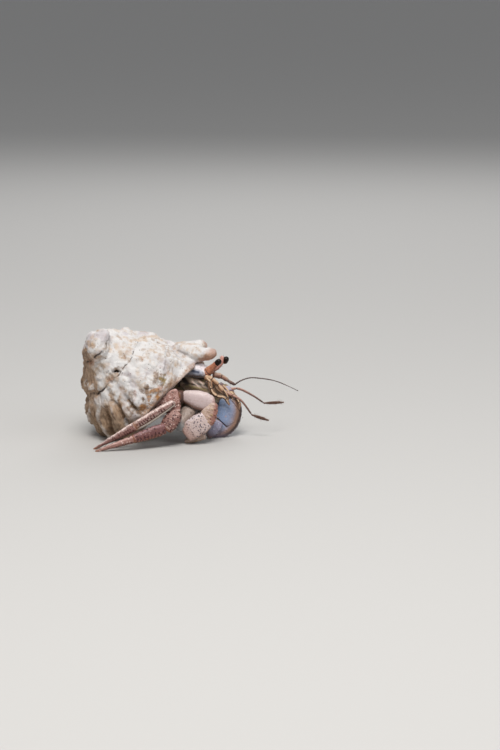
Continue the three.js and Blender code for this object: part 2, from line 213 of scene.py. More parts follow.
def finished(thing, kind, **settings):
    # the object's mesh with a modifier put on it and applied
    modifier = thing.modifiers.new(kind, kind)
    for key, value in settings.items():
        setattr(modifier, key, value)
    graph = bpy.context.evaluated_depsgraph_get()
    result = bpy.data.meshes.new_from_object(thing.evaluated_get(graph))
    thing.modifiers.clear()
    thing.data = result


def frontPlane(points):
    # places on an upright plane facing the front, tipped back: across and up
    return np.stack([points[..., 0], tipSine * points[..., 1] + tipCosine * points[..., 2]], -1)


def fromLine(flat, line):
    # distance of flat points from a line of straight pieces
    line = np.array(line, float)
    best = np.full(flat.shape[:-1], 99.0)
    for start, end in zip(line[:-1], line[1:]):
        run = end - start
        share = np.clip((flat - start) @ run / (run @ run), 0, 1)[..., None]
        best = np.minimum(best, np.linalg.norm(flat - start - share * run, axis=-1))
    return best


def newMaterial(name):
    # a material, its node tree and its shader
    material = bpy.data.materials.new(name)
    material.use_nodes = True
    return material, material.node_tree, material.node_tree.nodes["Principled BSDF"]


class Surface:
    # A material under way, with its base colour so far. A tone is a name in its paint, a colour or an
    # output; a value is a number, an output or the name of a mask.
    def __init__(self, name, base, paint):
        self.material, self.tree, self.shader = newMaterial(name)
        self.base, self.paint = base, paint
        self.spot = self.stretched(self.put("ShaderNodeTexCoord", {})["Object"], (1000, 1000, 1000))

    def feed(self, socket, value):
        # a value into a socket, as a link where it is an output
        if isinstance(value, bpy.types.NodeSocket):
            self.tree.links.new(value, socket)
        else:
            socket.default_value = value

    def put(self, kind, inputs, **settings):
        # the outputs of one more node
        node = self.tree.nodes.new(kind)
        for key, value in settings.items():
            setattr(node, key, value)
        for key, value in inputs.items():
            self.feed(node.inputs[key], value)
        return node.outputs

    def mask(self, value, output="Fac"):
        # a value, read from the piece's own attribute where it is a name
        if not isinstance(value, str):
            return value
        return self.put("ShaderNodeAttribute", {}, attribute_name=value)[output]

    def stretched(self, place, scale):
        # coordinates multiplied by a scale for each axis
        return self.put("ShaderNodeMapping", {"Vector": place, "Scale": scale})[0]

    def maths(self, operation, a, b):
        # one sum of two values
        return self.put("ShaderNodeMath", {0: self.mask(a), 1: self.mask(b)}, operation=operation)[0]

    def loosened(self, value, noise, amount):
        # value + (noise - 0.5) x amount
        return self.maths("ADD", value, self.maths("MULTIPLY", self.maths("SUBTRACT", noise, 0.5), amount))

    def between(self, value, low, high):
        # an S curve: 0 below low, 1 above high
        inputs = {"Value": self.mask(value), "From Min": low, "From Max": high}
        return self.put("ShaderNodeMapRange", inputs, interpolation_type="SMOOTHSTEP")[0]

    def ranged(self, value, low, high):
        # a value from 0 to 1 spread from low to high
        return self.put("ShaderNodeMapRange", {"Value": value, "To Min": low, "To Max": high})[0]

    def cloud(self, size, detail=4.0, rough=0.55, bend=0.0, place=None):
        # soft noise with blotches of about this size in millimetres
        place = self.spot if place is None else place
        inputs = {"Vector": place, "Scale": 1 / size, "Detail": detail, "Roughness": rough}
        return self.put("ShaderNodeTexNoise", {**inputs, "Distortion": bend})["Fac"]

    def dots(self, size):
        # distance from scattered points this far apart
        return self.put("ShaderNodeTexVoronoi", {"Vector": self.spot, "Scale": 1 / size})["Distance"]

    def bump(self, height, strength, distance, under=None):
        # a normal bent by the slope of a height, on top of another
        inputs = {"Height": height, "Strength": strength, "Distance": distance * mm}
        return self.put("ShaderNodeBump", inputs if under is None else {**inputs, "Normal": under})[0]

    def tone(self, tone):
        # a colour with its alpha, or an output as it is
        tone = self.paint[tone] if isinstance(tone, str) else tone
        return tone if isinstance(tone, bpy.types.NodeSocket) else (*tone, 1)

    def mixed(self, first, second, share):
        # first + (second - first) x share
        inputs = {0: share, 6: self.tone(first), 7: self.tone(second)}
        return self.put("ShaderNodeMix", inputs, data_type="RGBA")[2]

    def over(self, tone, *factors):
        # a tone laid over the base by the product of the factors
        share = self.mask(factors[0])
        for factor in factors[1:]:
            share = self.maths("MULTIPLY", share, factor)
        self.base = self.mixed(self.base, tone, share)

    def done(self, **inputs):
        # the material, its shader fed; an underscore stands for a space in a socket's name
        for key, value in {"Base_Color": self.base, **inputs}.items():
            self.feed(self.shader.inputs[key.replace("_", " ")], value)
        return self.material


shell = {
    "apex": vec(-29.6, -8, 30.8),  # where the winding starts
    "axis": unit(vec(-0.6, -0.46, 0.65)),  # towards the apex
    "up": vec(0.707, 0, 0.707),
    "turns": 4,
    "growth": 1.2,  # power of the turn by which all sizes grow
    "ring": 9.6,  # axis to tube middle at the mouth
    "tube": 9.6,  # tube radius at the mouth
    "drop": 27,  # tube middle below the apex at the mouth
    "ramp": 0.38,  # how far the shoulder slopes
    "sink": (3.3, 2),  # how far the last half turn draws in, and how far it drops
    "sinkEnds": (3.38, 3.88),  # the turns over which it draws in
    "dropsFrom": 3.6,
    "front": 1.3,  # how far the section is drawn out in front
    "collar": 3.6,  # how far each turn climbs the one before it
    "collarAt": (95, 60),  # its angle and half width
    "collarEnds": (3.35, 3.7),  # the turns over which it fades out
    "wall": 1.3,
    "mouth": (vec(-5.5, -12, 17), unit(vec(0.75, -0.3, -0.59))),  # a point and the way it faces
    "tip": (vec(-25.3, -7, 27.7), [3.1, 4.7, 4.9]),  # the worn first turns
    "notch": (vec(3.1, 1.3, 20.3), vec(1, -0.3, 0.1), vec(0, 1, 0), [1.9, 2.4, 1.2]),  # over the head
    "solid": (0.9, 4.23),  # the turns over which the winding is solid, and those of its hollow
    "hollow": (3.45, 4.3),
    "pillar": (24, [15, 1.1, 1.1]),  # how far its middle is below the apex, and its half sizes
    "voxels": (0.4, 0.26),  # of the blank, and of the blank with its lobes
    "rib": (2.385, 0.054),  # the turn of the first rib, and from one rib to the next
    "ribEnds": (3.65, 3.95),  # the turns over which the ribs fade out
    "ribHeight": 1.45,
    "cord": 26,  # degrees from one spiral cord to the next
    "relief": dict(worn=0.52, block=0.4, rough=0.15, lines=0.06, seam=0.34, small=0.25,
                   edge=0.75),  # the last draws in the upper back edge
    "lobes": [  # centre, direction, half sizes: two lobes and the root that they share
        (vec(0.3, 6.3, 25.1), vec(0.95, -0.15, 0.22), [4.8, 2.3, 2.2]),
        (vec(3.5, 2.4, 23.6), vec(0.96, -0.1, 0.12), [4.3, 2.4, 2.2]),
        (vec(-0.9, 4.3, 24.5), vec(0.96, -0.1, 0.14), [4.9, 2.7, 2.5])],
    "settled": [  # across the front plane, and how far its upper outline there lifts
        (-29.1, 0.5), (-25.7, 0.5), (-22.9, 0.7), (-20.7, 0.9), (-17.3, 0.1), (-14.3, -1.1), (-12.3, -0.75),
        (-10.3, -0.75), (-8.1, -0.6), (-5.9, -0.5), (-3.1, -0.5), (0.3, -1.1), (3.9, -0.8), (8, -0.7)],
    "paint": dict(
        chalk=(0.67, 0.65, 0.64), cream=(0.56, 0.455, 0.37), tan=(0.39, 0.245, 0.14),
        brown=(0.13, 0.07, 0.035), rust=(0.37, 0.165, 0.045), olive=(0.36, 0.27, 0.1),
        dark=(0.035, 0.02, 0.012), inside=(0.26, 0.19, 0.13), violet=(0.5, 0.45, 0.47),
        # of the tones below, the brown after clay is a painted shade for the lower part of the shell
        clay=(0.42, 0.2, 0.12), shadeBrown=(0.23, 0.155, 0.09), ash=(0.33, 0.28, 0.27)),
    "pits": [  # worn places: turn, angle, radius, depth; the first goes right through
        (2.239, 30, 0.95, 1.8), (3.159, -5, 1.5, 0.4), (3.211, 16, 1, 0.6), (3.211, -3, 1.7, 0.45),
        (3.262, -3, 1.3, 0.6), (2.285, 16, 1.1, 0.5), (2.4, 46, 0.7, 0.4), (3.33, 44, 0.8, 0.4)],
    "stains": {  # ovals on the front plane: across, up, half width, half height, strength
        "tan": [(-17.5, 22.4, 1.3, 0.9, 0.7), (-27, 25.9, 1.9, 1.5, 0.7), (-24.5, 22.2, 2.4, 1.2, 0.6),
                (-5.3, 23.6, 1.2, 1.6, 0.5), (-4.6, 20.3, 1.2, 2, 0.4), (-18.6, 10.2, 1, 2.6, 0.7),
                (-17.6, 13.6, 1.4, 0.9, 0.6), (-7.6, 10.9, 1.2, 1, 0.6), (-5, 18.3, 1, 1.4, 0.5),
                (-22.6, 24.6, 1.2, 1, 0.5), (-21, 11.5, 1.3, 2.6, 0.6), (-10.2, 27.5, 1.2, 0.9, 0.6),
                (-3.2, 22.2, 1.3, 0.7, 0.5), (-19.6, 18.5, 0.9, 1.3, 0.8), (-12.4, 24.2, 1.4, 1, 0.5),
                (-23.6, 19.5, 1.6, 1.2, 0.6)],
        "clay": [(-7.4, 13.9, 1, 1.3, 0.7), (-21.6, 16, 2.1, 1.4, 0.5), (-26.9, 21, 2.2, 1, 0.6),
                 (-14.6, 12.4, 0.9, 2.2, 0.5)],
        "brown": [(-6.9, 16.1, 2.1, 2.4, 0.9), (-8.8, 16.7, 1.1, 2.3, 0.8), (-12.2, 10.6, 0.6, 1.6, 0.9),
                  (-11.2, 13.9, 0.8, 1.5, 1), (-13.4, 8, 1.4, 1.2, 0.9), (-20.9, 17.1, 1.9, 1.2, 0.5),
                  (-16, 11, 1.2, 3, 0.5), (-15.6, 8.6, 1.5, 2.6, 1), (-19, 8.2, 0.8, 2.8, 0.8),
                  (-22.7, 7.5, 0.9, 3.4, 0.8), (-11.6, 9.6, 1.5, 1.3, 0.5), (-9.6, 13.8, 1.2, 0.8, 0.6),
                  (-8, 26.6, 1.1, 0.6, 0.5), (-18.9, 19.2, 1.1, 0.8, 0.5)],
        "rust": [(-8.2, 11.1, 0.7, 1.6, 1), (-10.2, 9.5, 1.1, 0.7, 0.9), (-8.9, 13.1, 2, 0.9, 1),
                 (-10.4, 11.9, 0.7, 1.6, 0.8), (-12.4, 8.6, 1.5, 0.9, 1), (-13.2, 21.6, 1.7, 0.8, 0.45),
                 (-6.8, 25.6, 1, 1.9, 0.35)],
        "olive": [(-6.6, 16.2, 1.3, 1.6, 1)],
        # the chalk ovals are partly the shell's own white and partly painted highlights on knob tips and
        # streaks of the lower left
        "chalk": [(-29.8, 15, 1.2, 2.1, 1), (-27.3, 14.3, 1.2, 0.9, 0.7), (-28.4, 10.4, 0.8, 1.4, 0.7),
                  (-24.6, 9, 0.6, 2.6, 0.7), (-17.2, 4.6, 0.8, 2.2, 0.6)],
    },
    "stainedLip": {"tan": 0.55, "clay": 0.35},  # strengths along the lip
    "cracks": [  # half width, depth, darkness, line on the front plane
        (0.3, 0.35, 1, [
            (-29.4, 21.1), (-27.6, 21), (-26.4, 21.4), (-24.9, 22.5), (-23.5, 23.8), (-22.1, 25.2),
            (-21.3, 26.9)]),
        (0.38, 0.5, 0.9, [(-29.4, 12.4), (-27.6, 12), (-25.6, 12.2), (-24.3, 13), (-22.6, 14)]),
        (0.22, 0.2, 0.5, [(-22.9, 13.9), (-21.6, 15.2), (-20.2, 16.6)]),
        (0.16, 0.2, 0.85, [
            (-20.2, 16.6), (-19.2, 17.4), (-18, 18.7), (-16.6, 20.9), (-15.3, 22.2), (-14.9, 24),
            (-14.6, 25.3), (-13.9, 26.6)]),
        (0.22, 0.12, 0.35, [
            (-10.8, 28.3), (-8.2, 27), (-6.5, 25.9), (-5.6, 24.2), (-3.8, 23.1), (0.3, 21.4)])],
}
near = unit(np.cross(shell["up"], shell["axis"]))  # across the axis, to the crab's right
top = np.cross(shell["axis"], near)  # across the axis, forwards and up


def grownAt(turn):
    # the share of its size at the mouth that the tube has at a turn: a power of the turn
    return (turn / shell["turns"]) ** shell["growth"]


def tubeAt(turn):
    # the tube's size at a turn, its middle's distance from the axis and its height along it
    grown = grownAt(turn)
    inwards = shell["sink"][0] * smooth(*shell["sinkEnds"], turn)
    down = shell["sink"][1] * np.maximum(0, (turn - shell["dropsFrom"]) / 0.5) ** 2
    return grown, shell["ring"] * grown - inwards, -shell["drop"] * grown - down


def collarAt(turn, angle, grown):
    # a raised cosine round the collar's angle, fading out near the mouth
    middle, half = shell["collarAt"]
    away = (np.mod(np.degrees(angle) - middle + 180, 360) - 180) / half
    rise = np.where(np.abs(away) < 1, np.cos(away * np.pi / 2) ** 2, 0)
    return shell["collar"] * (1 - smooth(*shell["collarEnds"], turn)) * grown * rise


def shellSurface(turn, angle, thinner=0.0):
    # a tube wound round the axis: its outline is a circle with a ramped shoulder, drawn out in
    # front, and all its sizes grow as a power of the turn
    grown, ring, height = tubeAt(turn)
    c, s = np.cos(angle), np.sin(angle)
    radius = shell["tube"] * grown - thinner
    out = radius * c * np.where(c > 0, 1.12 - shell["ramp"] * s, 1)
    along = radius * s * np.where(s < 0, shell["front"], 1) + collarAt(turn, angle, grown)
    reach = np.maximum(0.15 + thinner, ring + out)
    spin = turn * 2 * np.pi
    outward = np.cos(spin)[..., None] * top + np.sin(spin)[..., None] * near
    return shell["apex"] + outward * reach[..., None] + shell["axis"] * (height + along)[..., None]


def shellCoordinates(points):
    # the turn and angle of the winding nearest each point, and how far outside it the point lies:
    # each whole turn that the point could belong to is tried, its angle found in five rounds
    offset = points - shell["apex"]
    height = offset @ shell["axis"]
    flat = offset - height[:, None] * shell["axis"]
    reach = np.linalg.norm(flat, axis=1)
    phase = np.mod(np.arctan2(flat @ near, flat @ top) / (2 * np.pi), 1)
    found = []
    for whole in range(5):
        turn = np.clip(whole + phase, 0.3, 4.6)
        grown, ring, middle = tubeAt(turn)
        out, along = reach - ring, height - middle
        angle = np.arctan2(along, out)
        for _ in range(5):
            lift = along - collarAt(turn, angle, grown)
            x = out / np.where(out > 0, 1.12 - shell["ramp"] * np.sin(angle), 1)
            y = lift / np.where(lift < 0, shell["front"], 1)
            angle = np.arctan2(y, x)
        outside = np.hypot(x, y) - shell["tube"] * grown
        wrong = (whole + phase > 4.45) | (whole + phase < 0.5)
        found.append((turn, angle, np.where(wrong, 99, outside)))
    found = np.array(found)
    nearest = np.argmin(np.abs(found[:, 2]), axis=0)
    return found[nearest, :, np.arange(len(points))].T


def lump(centre, along, across, sizes, rows=24, columns=32, blunt=2.0):
    # an ellipsoid with half sizes along three directions, the first two given; above 2, blunt
    # squares its ends
    a = unit(along)
    b = unit(across - across @ a * a)
    c = np.cross(a, b)
    v, u = crossed(np.linspace(0.05, np.pi - 0.05, rows), circle(columns))
    far = np.sign(np.cos(v)) * np.abs(np.cos(v)) ** (2 / blunt)
    out = np.sin(v) ** (2 / blunt)
    grid = centre - sizes[0] * far[..., None] * a
    grid = grid + sizes[1] * (out * np.cos(u))[..., None] * b + sizes[2] * (out * np.sin(u))[..., None] * c
    return ringMesh(grid)


def slab(centre, normal, reach=60.0):
    # a block on the far side of a plane
    a = unit(normal)
    b = unit(np.cross(a, vec(0.3, 1, 0.2)))
    c = np.cross(a, b)
    ring = np.array([b + c, c - b, -b - c, b - c]) * reach
    return ringMesh(np.stack([centre + ring, centre + ring + a * reach]))


def woundTube(start, end, rows, columns, thinner=0.0):
    # the winding from one turn to another, closed at both ends
    return ringMesh(shellSurface(*crossed(np.linspace(start, end, rows), circle(columns)), thinner))


def shellBlank():
    # the winding, its worn top and its pillar, hollowed, cut by the mouth, the floor and a notch
    # over the head, and given two finger-like lobes on its lip; its hidden mesh is thinned out
    below, sizes = shell["pillar"]
    pillar = lump(shell["apex"] - shell["axis"] * below, shell["axis"], near, sizes, 12, 12)
    tip = lump(shell["tip"][0], shell["axis"], near, shell["tip"][1])
    solid, _ = rawMesh("blank", *joined([woundTube(*shell["solid"], 420, 72), pillar, tip]))
    finished(solid, "REMESH", mode="VOXEL", voxel_size=shell["voxels"][0])
    hollow = woundTube(*shell["hollow"], 90, 48, shell["wall"])
    for cut in (hollow, slab(*shell["mouth"]), slab(vec(0, 0, 0), -up), lump(*shell["notch"])):
        tool, _ = rawMesh("cut", *cut)
        finished(solid, "BOOLEAN", object=tool, operation="DIFFERENCE", solver="EXACT")
        bpy.data.objects.remove(tool)
    lobes = [lump(centre, along, vec(0, 1, 0), sizes, blunt=2.7) for centre, along, sizes in shell["lobes"]]
    extra, _ = rawMesh("lobes", *joined(lobes))
    with bpy.context.temp_override(active_object=solid, selected_editable_objects=[solid, extra]):
        bpy.ops.object.join()
    finished(solid, "REMESH", mode="VOXEL", voxel_size=shell["voxels"][1])
    finished(solid, "SMOOTH", factor=0.5, iterations=3)
    inside = np.flatnonzero(shellCoordinates(vectorsOf(solid.data.vertices, "co"))[2] < -0.75)
    solid.vertex_groups.new(name="inside").add(inside.tolist(), 1.0, "REPLACE")
    share = 1 - 0.9 * len(inside) / len(solid.data.vertices)
    finished(solid, "DECIMATE", ratio=share, vertex_group="inside", vertex_group_factor=10)
    return solid


def fingers(points, turn, degrees, grown):
    # ribs that run down each turn side by side like fingers, with narrow gaps between them: each is
    # a half round in the turn, has its own height, and is broken into knobs by the spiral cords
    first, step = shell["rib"]
    lean = 0.01 * blobs(points, 5.0, 3) + 0.0001 * (degrees - 10)
    count = (turn + lean - first) / step
    phase = count - np.round(count)
    rank = np.round(count).astype(np.int64)
    own = hashed(np.stack([rank, rank * 0, rank * 0], -1), 5)
    rib = np.sqrt(np.clip(1 - (2.3 * phase) ** 2, 0, 1))
    swell = np.cos(np.pi * phase) ** 2
    low = smooth(-75, -30, degrees) * (1 - smooth(18, 48, degrees))
    high = smooth(10, 40, degrees) * (1 - smooth(60, 88, degrees))
    knob = 0.5 + 0.5 * np.cos(2 * np.pi * (degrees - 14 + 9 * own) / shell["cord"])
    there = smooth(first - 0.03, first + 0.02, turn) * (1 - smooth(*shell["ribEnds"], turn))
    low = low * np.maximum(1 - smooth(2.75, 2.9, turn), smooth(3.16, 3.26, turn))
    young = 0.5 + 0.5 * smooth(2.3, 3.0, turn)
    reach = shell["ribHeight"] * (0.7 + 0.5 * own) * there * young * grown
    raised = reach * (low * (rib - 0.74) + 0.55 * high * (0.2 + 0.8 * knob) * (swell - 0.5))
    worn = smooth(-0.9, 0.5, layered(points, 2.6, 12, 3))
    return raised, (1 - rib) * low * there * (0.35 + 0.65 * worn)


def whorlEdge(thing, whorl):
    # 1 along the edges where the nearest whorl changes, averaged twice with what lies round it
    edges = np.zeros(len(thing.data.edges) * 2, np.int32)
    thing.data.edges.foreach_get("vertices", edges)
    a, b = edges.reshape(-1, 2).T
    count = len(whorl)
    there = np.zeros(count)
    jump = np.abs(whorl[a] - whorl[b]) > 0.5
    there[a[jump]] = there[b[jump]] = 1
    for _ in range(2):
        total = np.bincount(a, there[b], count) + np.bincount(b, there[a], count)
        share = total / np.maximum(np.bincount(a, None, count) + np.bincount(b, None, count), 1)
        there = 0.5 * (there + share)
    return np.clip(1.4 * there, 0, 1)


def stainsOf(points, flat, fore, lip):
    # ovals with ragged edges, each at its own strength in the middle, and the stained lip
    ragged = np.stack([layered(points, 1.2, seed, 3) for seed in (27, 28)], -1)
    stains = {}
    for label, ovals in shell["stains"].items():
        stains[label] = shell["stainedLip"].get(label, 0) * lip
        for across, rise, wide, tall, strength in ovals:
            far = np.linalg.norm((flat - (across, rise)) / (wide, tall) + 0.55 * ragged, axis=-1)
            stains[label] = np.maximum(stains[label], strength * (1 - smooth(0.35, 1.15, far)) * fore)
    return stains


def pitsOf(points, outer):
    # how deep the worn places go at each point, and 1 where one of them goes right through
    deep, through = 0, None
    for at, where, radius, depth in shell["pits"]:
        centre = shellSurface(np.array([at]), np.radians([where]))[0]
        far = np.linalg.norm((points - centre) * vec(0.8, 1, 1.25), axis=1) / radius
        far = far + 0.45 * layered(points, 1.1, 51, 2)
        through = 1 - smooth(0.3, 0.65, far) if through is None else through
        deep = deep + depth * (1 - smooth(0.35, 0.95, far)) * outer
    return deep, through


def shellPiece():
    # the blank, its upper outline settled, moved along its normals by ribs, blocks, wear, cracks
    # and pits, each within its own bounds
    relief = shell["relief"]
    blank = shellBlank()
    points, normals, faces = surfaceOf(blank)
    turn, angle, outside = shellCoordinates(points)
    grown = grownAt(turn)
    degrees = np.degrees(angle)
    outer = smooth(-0.75, -0.45, outside)  # 0 on the wall of the hollow
    mouth, ahead = shell["mouth"]
    fromLip = -(points - mouth) @ ahead
    lobe = smooth(0.2, 1.0, outside) * smooth(3.6, 3.9, turn)
    body = outer * smooth(0.6, 3.2, fromLip) * (1 - lobe)
    rib, gap = fingers(points, turn, degrees, grown)

    fore = smooth(0.15, 0.45, normals @ vec(0, -tipCosine, tipSine)) * outer  # 1 where it faces the front
    crack = whorlEdge(blank, np.where((outside > 0.3) & (turn < 2.7), 0, turn))
    crack = crack * outer * (1 - fore) * (1 - 0.7 * smooth(24, 27, points[:, 2]))
    bpy.data.objects.remove(blank)
    seam = crack * smooth(-0.25, 0.15, blobs(points, 1.6, 9)) * (1 - smooth(3.0, 3.3, turn))
    lift = np.interp(points[:, 0], *np.transpose(shell["settled"])) * smooth(21, 28, frontPlane(points)[:, 1])
    settled = points + up * lift[:, None]
    flat = frontPlane(settled) + 0.35 * np.stack([blobs(points, 1.1, seed) for seed in (17, 18)], -1)
    worn = layered(points, 3.6, 11)
    block = smooth(-0.1, 0.3, blobs(points * vec(1, 1, 0.8), 2.5, 14)) - 0.5
    rough = layered(points, 0.9, 21, 3)
    spin = turn * 2 * np.pi * shell["ring"] * grown
    lines = layered(np.stack([spin * 2.2, degrees / 22, turn * 0], -1), 1.0, 31, 2)
    blocks = relief["block"] * block * (1 - gap)
    height = body * (rib + relief["worn"] * worn + blocks + relief["rough"] * rough + relief["lines"] * lines)
    height -= relief["seam"] * crack * (0.4 + 0.6 * seam)
    height += outer * (0.16 * layered(points, 1.6, 41, 3) + 0.16 * worn + 0.1 * rough) * (1 - body)
    broken = 0.4 + 0.6 * smooth(-0.35, 0.25, blobs(points, 0.9, 19))
    for half, depth, darkness, line in shell["cracks"]:
        cut = bell(fromLine(flat, line) / half) * fore
        height -= depth * cut
        seam = np.maximum(seam, darkness * cut * broken)
    lip = (1 - smooth(0.3, 2.0, fromLip + 0.9 * worn)) * outer * (1 - smooth(23, 25, flat[:, 1]))
    deep, pit = pitsOf(points, outer)
    distance, pick = cells(points, 1.3, 61)
    small = (1 - smooth(0.08, 0.24, distance)) * (pick < 0.3) * body
    height -= deep + relief["small"] * small
    height -= relief["edge"] * (1 - smooth(-29.0, -27.0, flat[:, 0])) * smooth(17, 20, flat[:, 1])
    stains = stainsOf(points, flat, fore, lip)
    points = settled + normals * height[:, None]
    points[:, 2] = np.where(points[:, 2] < 0.25, np.maximum(points[:, 2] - 0.25, 0), points[:, 2])

    x, y, z = points.T
    low = z + 1.5 * worn
    # left is the tan band down the left side; foot browns the lower left, partly its own colour and partly
    # painted shade; under is painted shade that darkens the shell towards the floor
    left = (1 - smooth(-28.5, -23.5, x + 2.2 * worn)) * (1 - smooth(25.5, 28.5, low))
    left = left * smooth(2.0, 6.0, 20 + low)
    foot = (1 - smooth(-23.0, -13.0, x + 2.0 * worn)) * (1 - smooth(8.0, 15.5, low))
    under = 1 - smooth(2.0, 13.0, low)
    farLobe = smooth(0.4, 3.6, x - 0.7 * (z - 24.6)) * smooth(4.2, 5.2, y)
    masks = {
        "inside": 1 - outer, "seam": seam, "pit": np.maximum(pit, 0.8 * small) * outer, **stains,
        "gap": gap * body, "tanAndLowShade": np.clip(np.maximum(0.9 * left, foot) + 0.42 * under, 0, 1) * outer,
        "crest": np.clip(0.5 + 0.8 * (rib + 0.3 * worn + 0.2 * block), 0, 1), "under": under * outer,
        "lobeTip": lobe * np.maximum(smooth(3.2, 7.6, x - 0.3 * (y - 4) - 0.75 * (z - 24)), farLobe),
        "lines": np.clip(0.5 + 0.5 * lines, 0, 1),
    }
    pieceOf("wornShell", points, faces, masks, shellMaterial(), "shell", "shell")


def shellMaterial():
    # chalk over cream, with ashy, tan and clay patches, large violet patches partly painted as lavender
    # shade, brown in the gaps between the ribs, painted shade browning the shell towards its bottom, ragged
    # stains, scattered black specks, and dark cracks and pits
    m = Surface("wornShell", "cream", shell["paint"])
    between, cloud, over = m.between, m.cloud, m.over
    middle = cloud(3.0, 6, 0.6, 0.15)
    fine = cloud(0.45, 6, 0.65)
    wide = m.loosened("tanAndLowShade", middle, 0.9)
    over("chalk", between(middle, 0.34, 0.52))
    # partly painted shade: large lavender patches, laid at random
    over("violet", between(cloud(6.0, 5, 0.6, 0.4), 0.5, 0.66), 0.75)
    over("ash", between("crest", 0.42, 0.12), between(middle, 0.3, 0.6), 0.55)
    over("tan", between(cloud(3.4, 6, 0.62, 0.1), 0.54, 0.68), 0.55)
    over("clay", between(cloud(4.1, 5, 0.6, 0.1), 0.55, 0.7), 0.35)
    # the tan mask carries the tan band, the lower left and a share of painted shade towards the bottom
    over("tan", between(wide, 0.25, 0.8), 0.85)
    over("brown", between(wide, 0.5, 1.1), between(cloud(1.6, 5, 0.6), 0.42, 0.62), 0.6)
    over("brown", between("lines", 0.52, 0.2), "tanAndLowShade", 0.7)
    # painted shade: the lower part of the shell browned by its under mask
    over("shadeBrown", "under", between(middle, 0.35, 0.6), 0.6)
    over("brown", between(m.loosened("gap", cloud(0.9, 5, 0.65), 1), 0.2, 0.75), 0.85)
    over("chalk", between("crest", 0.66, 0.98), 0.55)
    patchy = cloud(0.7, 5, 0.65)
    for label in shell["stains"]:
        second = {"brown": "tan", "chalk": "cream"}.get(label, "brown")
        varied = m.mixed(label, second, between(fine, 0.45, 0.7))
        over(varied, between(m.loosened(label, patchy, 1.8), -0.1, 1.1), between(label, 0.0, 0.5), 0.9)
    over("clay", between(m.loosened("lobeTip", middle, 1), 0.3, 1.2), 0.75)
    over("dark", between(m.dots(0.8), 0.17, 0.08), between(cloud(1.4, 3), 0.43, 0.52), 0.95)
    over("dark", between("seam", 0.15, 0.8), 0.9)
    over("dark", between("pit", 0.3, 0.8))
    over("inside", "inside")
    grainy = m.bump(cloud(0.16, 3), 0.4, 0.07, m.bump(fine, 0.7, 0.24))
    return m.done(Roughness=m.ranged(fine, 0.6, 0.92), Normal=grainy)


usual = {  # what a segment has where its own shape says nothing else
    "rows": 90, "columns": 72, "square": 2.3, "nose": 0.6, "side": up, "hair": 0, "free": False,
    "swell": 0.06, "keels": [], "grains": 0.6, "grainSize": 0.6, "grainHeight": 0.1, "grainsAt": None,
    "spots": 0.0, "spotSize": 0.95, "spotReach": 0.33, "evenSpots": False, "spotsAt": None, "beads": [],
    "rim": 0.0, "rimHeight": 0.1, "rings": [], "ringDepth": 0.13, "lines": [], "lineDepth": 0.05,
    "spotHeight": 0.04, "band": (up, 1, 0), "carve": None,
}  # keels, lines, beads and bands start with the direction that they face and a half width in degrees


def pathThrough(path, shares):
    # a centripetal Catmull-Rom curve through the points, read at shares of its length:
    # centres, the directions ahead and the length
    path = np.array(path, float)
    if len(path) > 2:
        ends = np.concatenate([[2 * path[0] - path[1]], path, [2 * path[-1] - path[-2]]])
        run = np.diff(ends, axis=0)
        gaps = np.sqrt(np.linalg.norm(run, axis=1))[:, None]
        bend = (ends[2:] - ends[:-2]) / (gaps[:-1] + gaps[1:])
        slope = run[:-1] / gaps[:-1] - bend + run[1:] / gaps[1:]
        u = np.linspace(0, 1, 60, False)[:, None]
        basis = [2 * u**3 - 3 * u**2 + 1, u**3 - 2 * u**2 + u, -2 * u**3 + 3 * u**2, u**3 - u**2]
        dense = [
            basis[0] * path[i] + basis[1] * slope[i] * gaps[i + 1]
            + basis[2] * path[i + 1] + basis[3] * slope[i + 1] * gaps[i + 1]
            for i in range(len(path) - 1)
        ]
        path = np.concatenate(dense + [path[-1:]])
    far = np.concatenate([[0], np.cumsum(np.linalg.norm(np.diff(path, axis=0), axis=1))])
    length = far[-1]
    read = lambda s: np.stack([np.interp(s * length, far, path[:, k]) for k in range(3)], -1)
    ahead = unit(read(np.minimum(shares + 0.02, 1)) - read(np.maximum(shares - 0.02, 0)))
    return read(shares), ahead, length


def easedList(values, shares):
    # a list of sizes read at shares of the length, its corners eased
    dense = np.interp(np.linspace(0, 1, 201), np.linspace(0, 1, len(values)), values)
    window = np.hanning(27)
    padded = np.pad(dense, 13, mode="edge")
    return np.interp(shares, np.linspace(0, 1, 201), np.convolve(padded, window / window.sum(), "valid"))


def halves(sizes, cosine, square, shares, closing):
    # how far a section reaches along one of its axes: a squared-off circle times a half size, which is
    # one list along the path, or a pair of lists for the two opposite sides
    pair = sizes if isinstance(sizes, tuple) else (sizes, sizes)
    ring = np.sign(cosine) * np.abs(cosine) ** (2 / square)
    first, second = ((easedList(values, shares) * closing)[:, None] for values in pair)
    return np.where(ring > 0, first, second) * ring


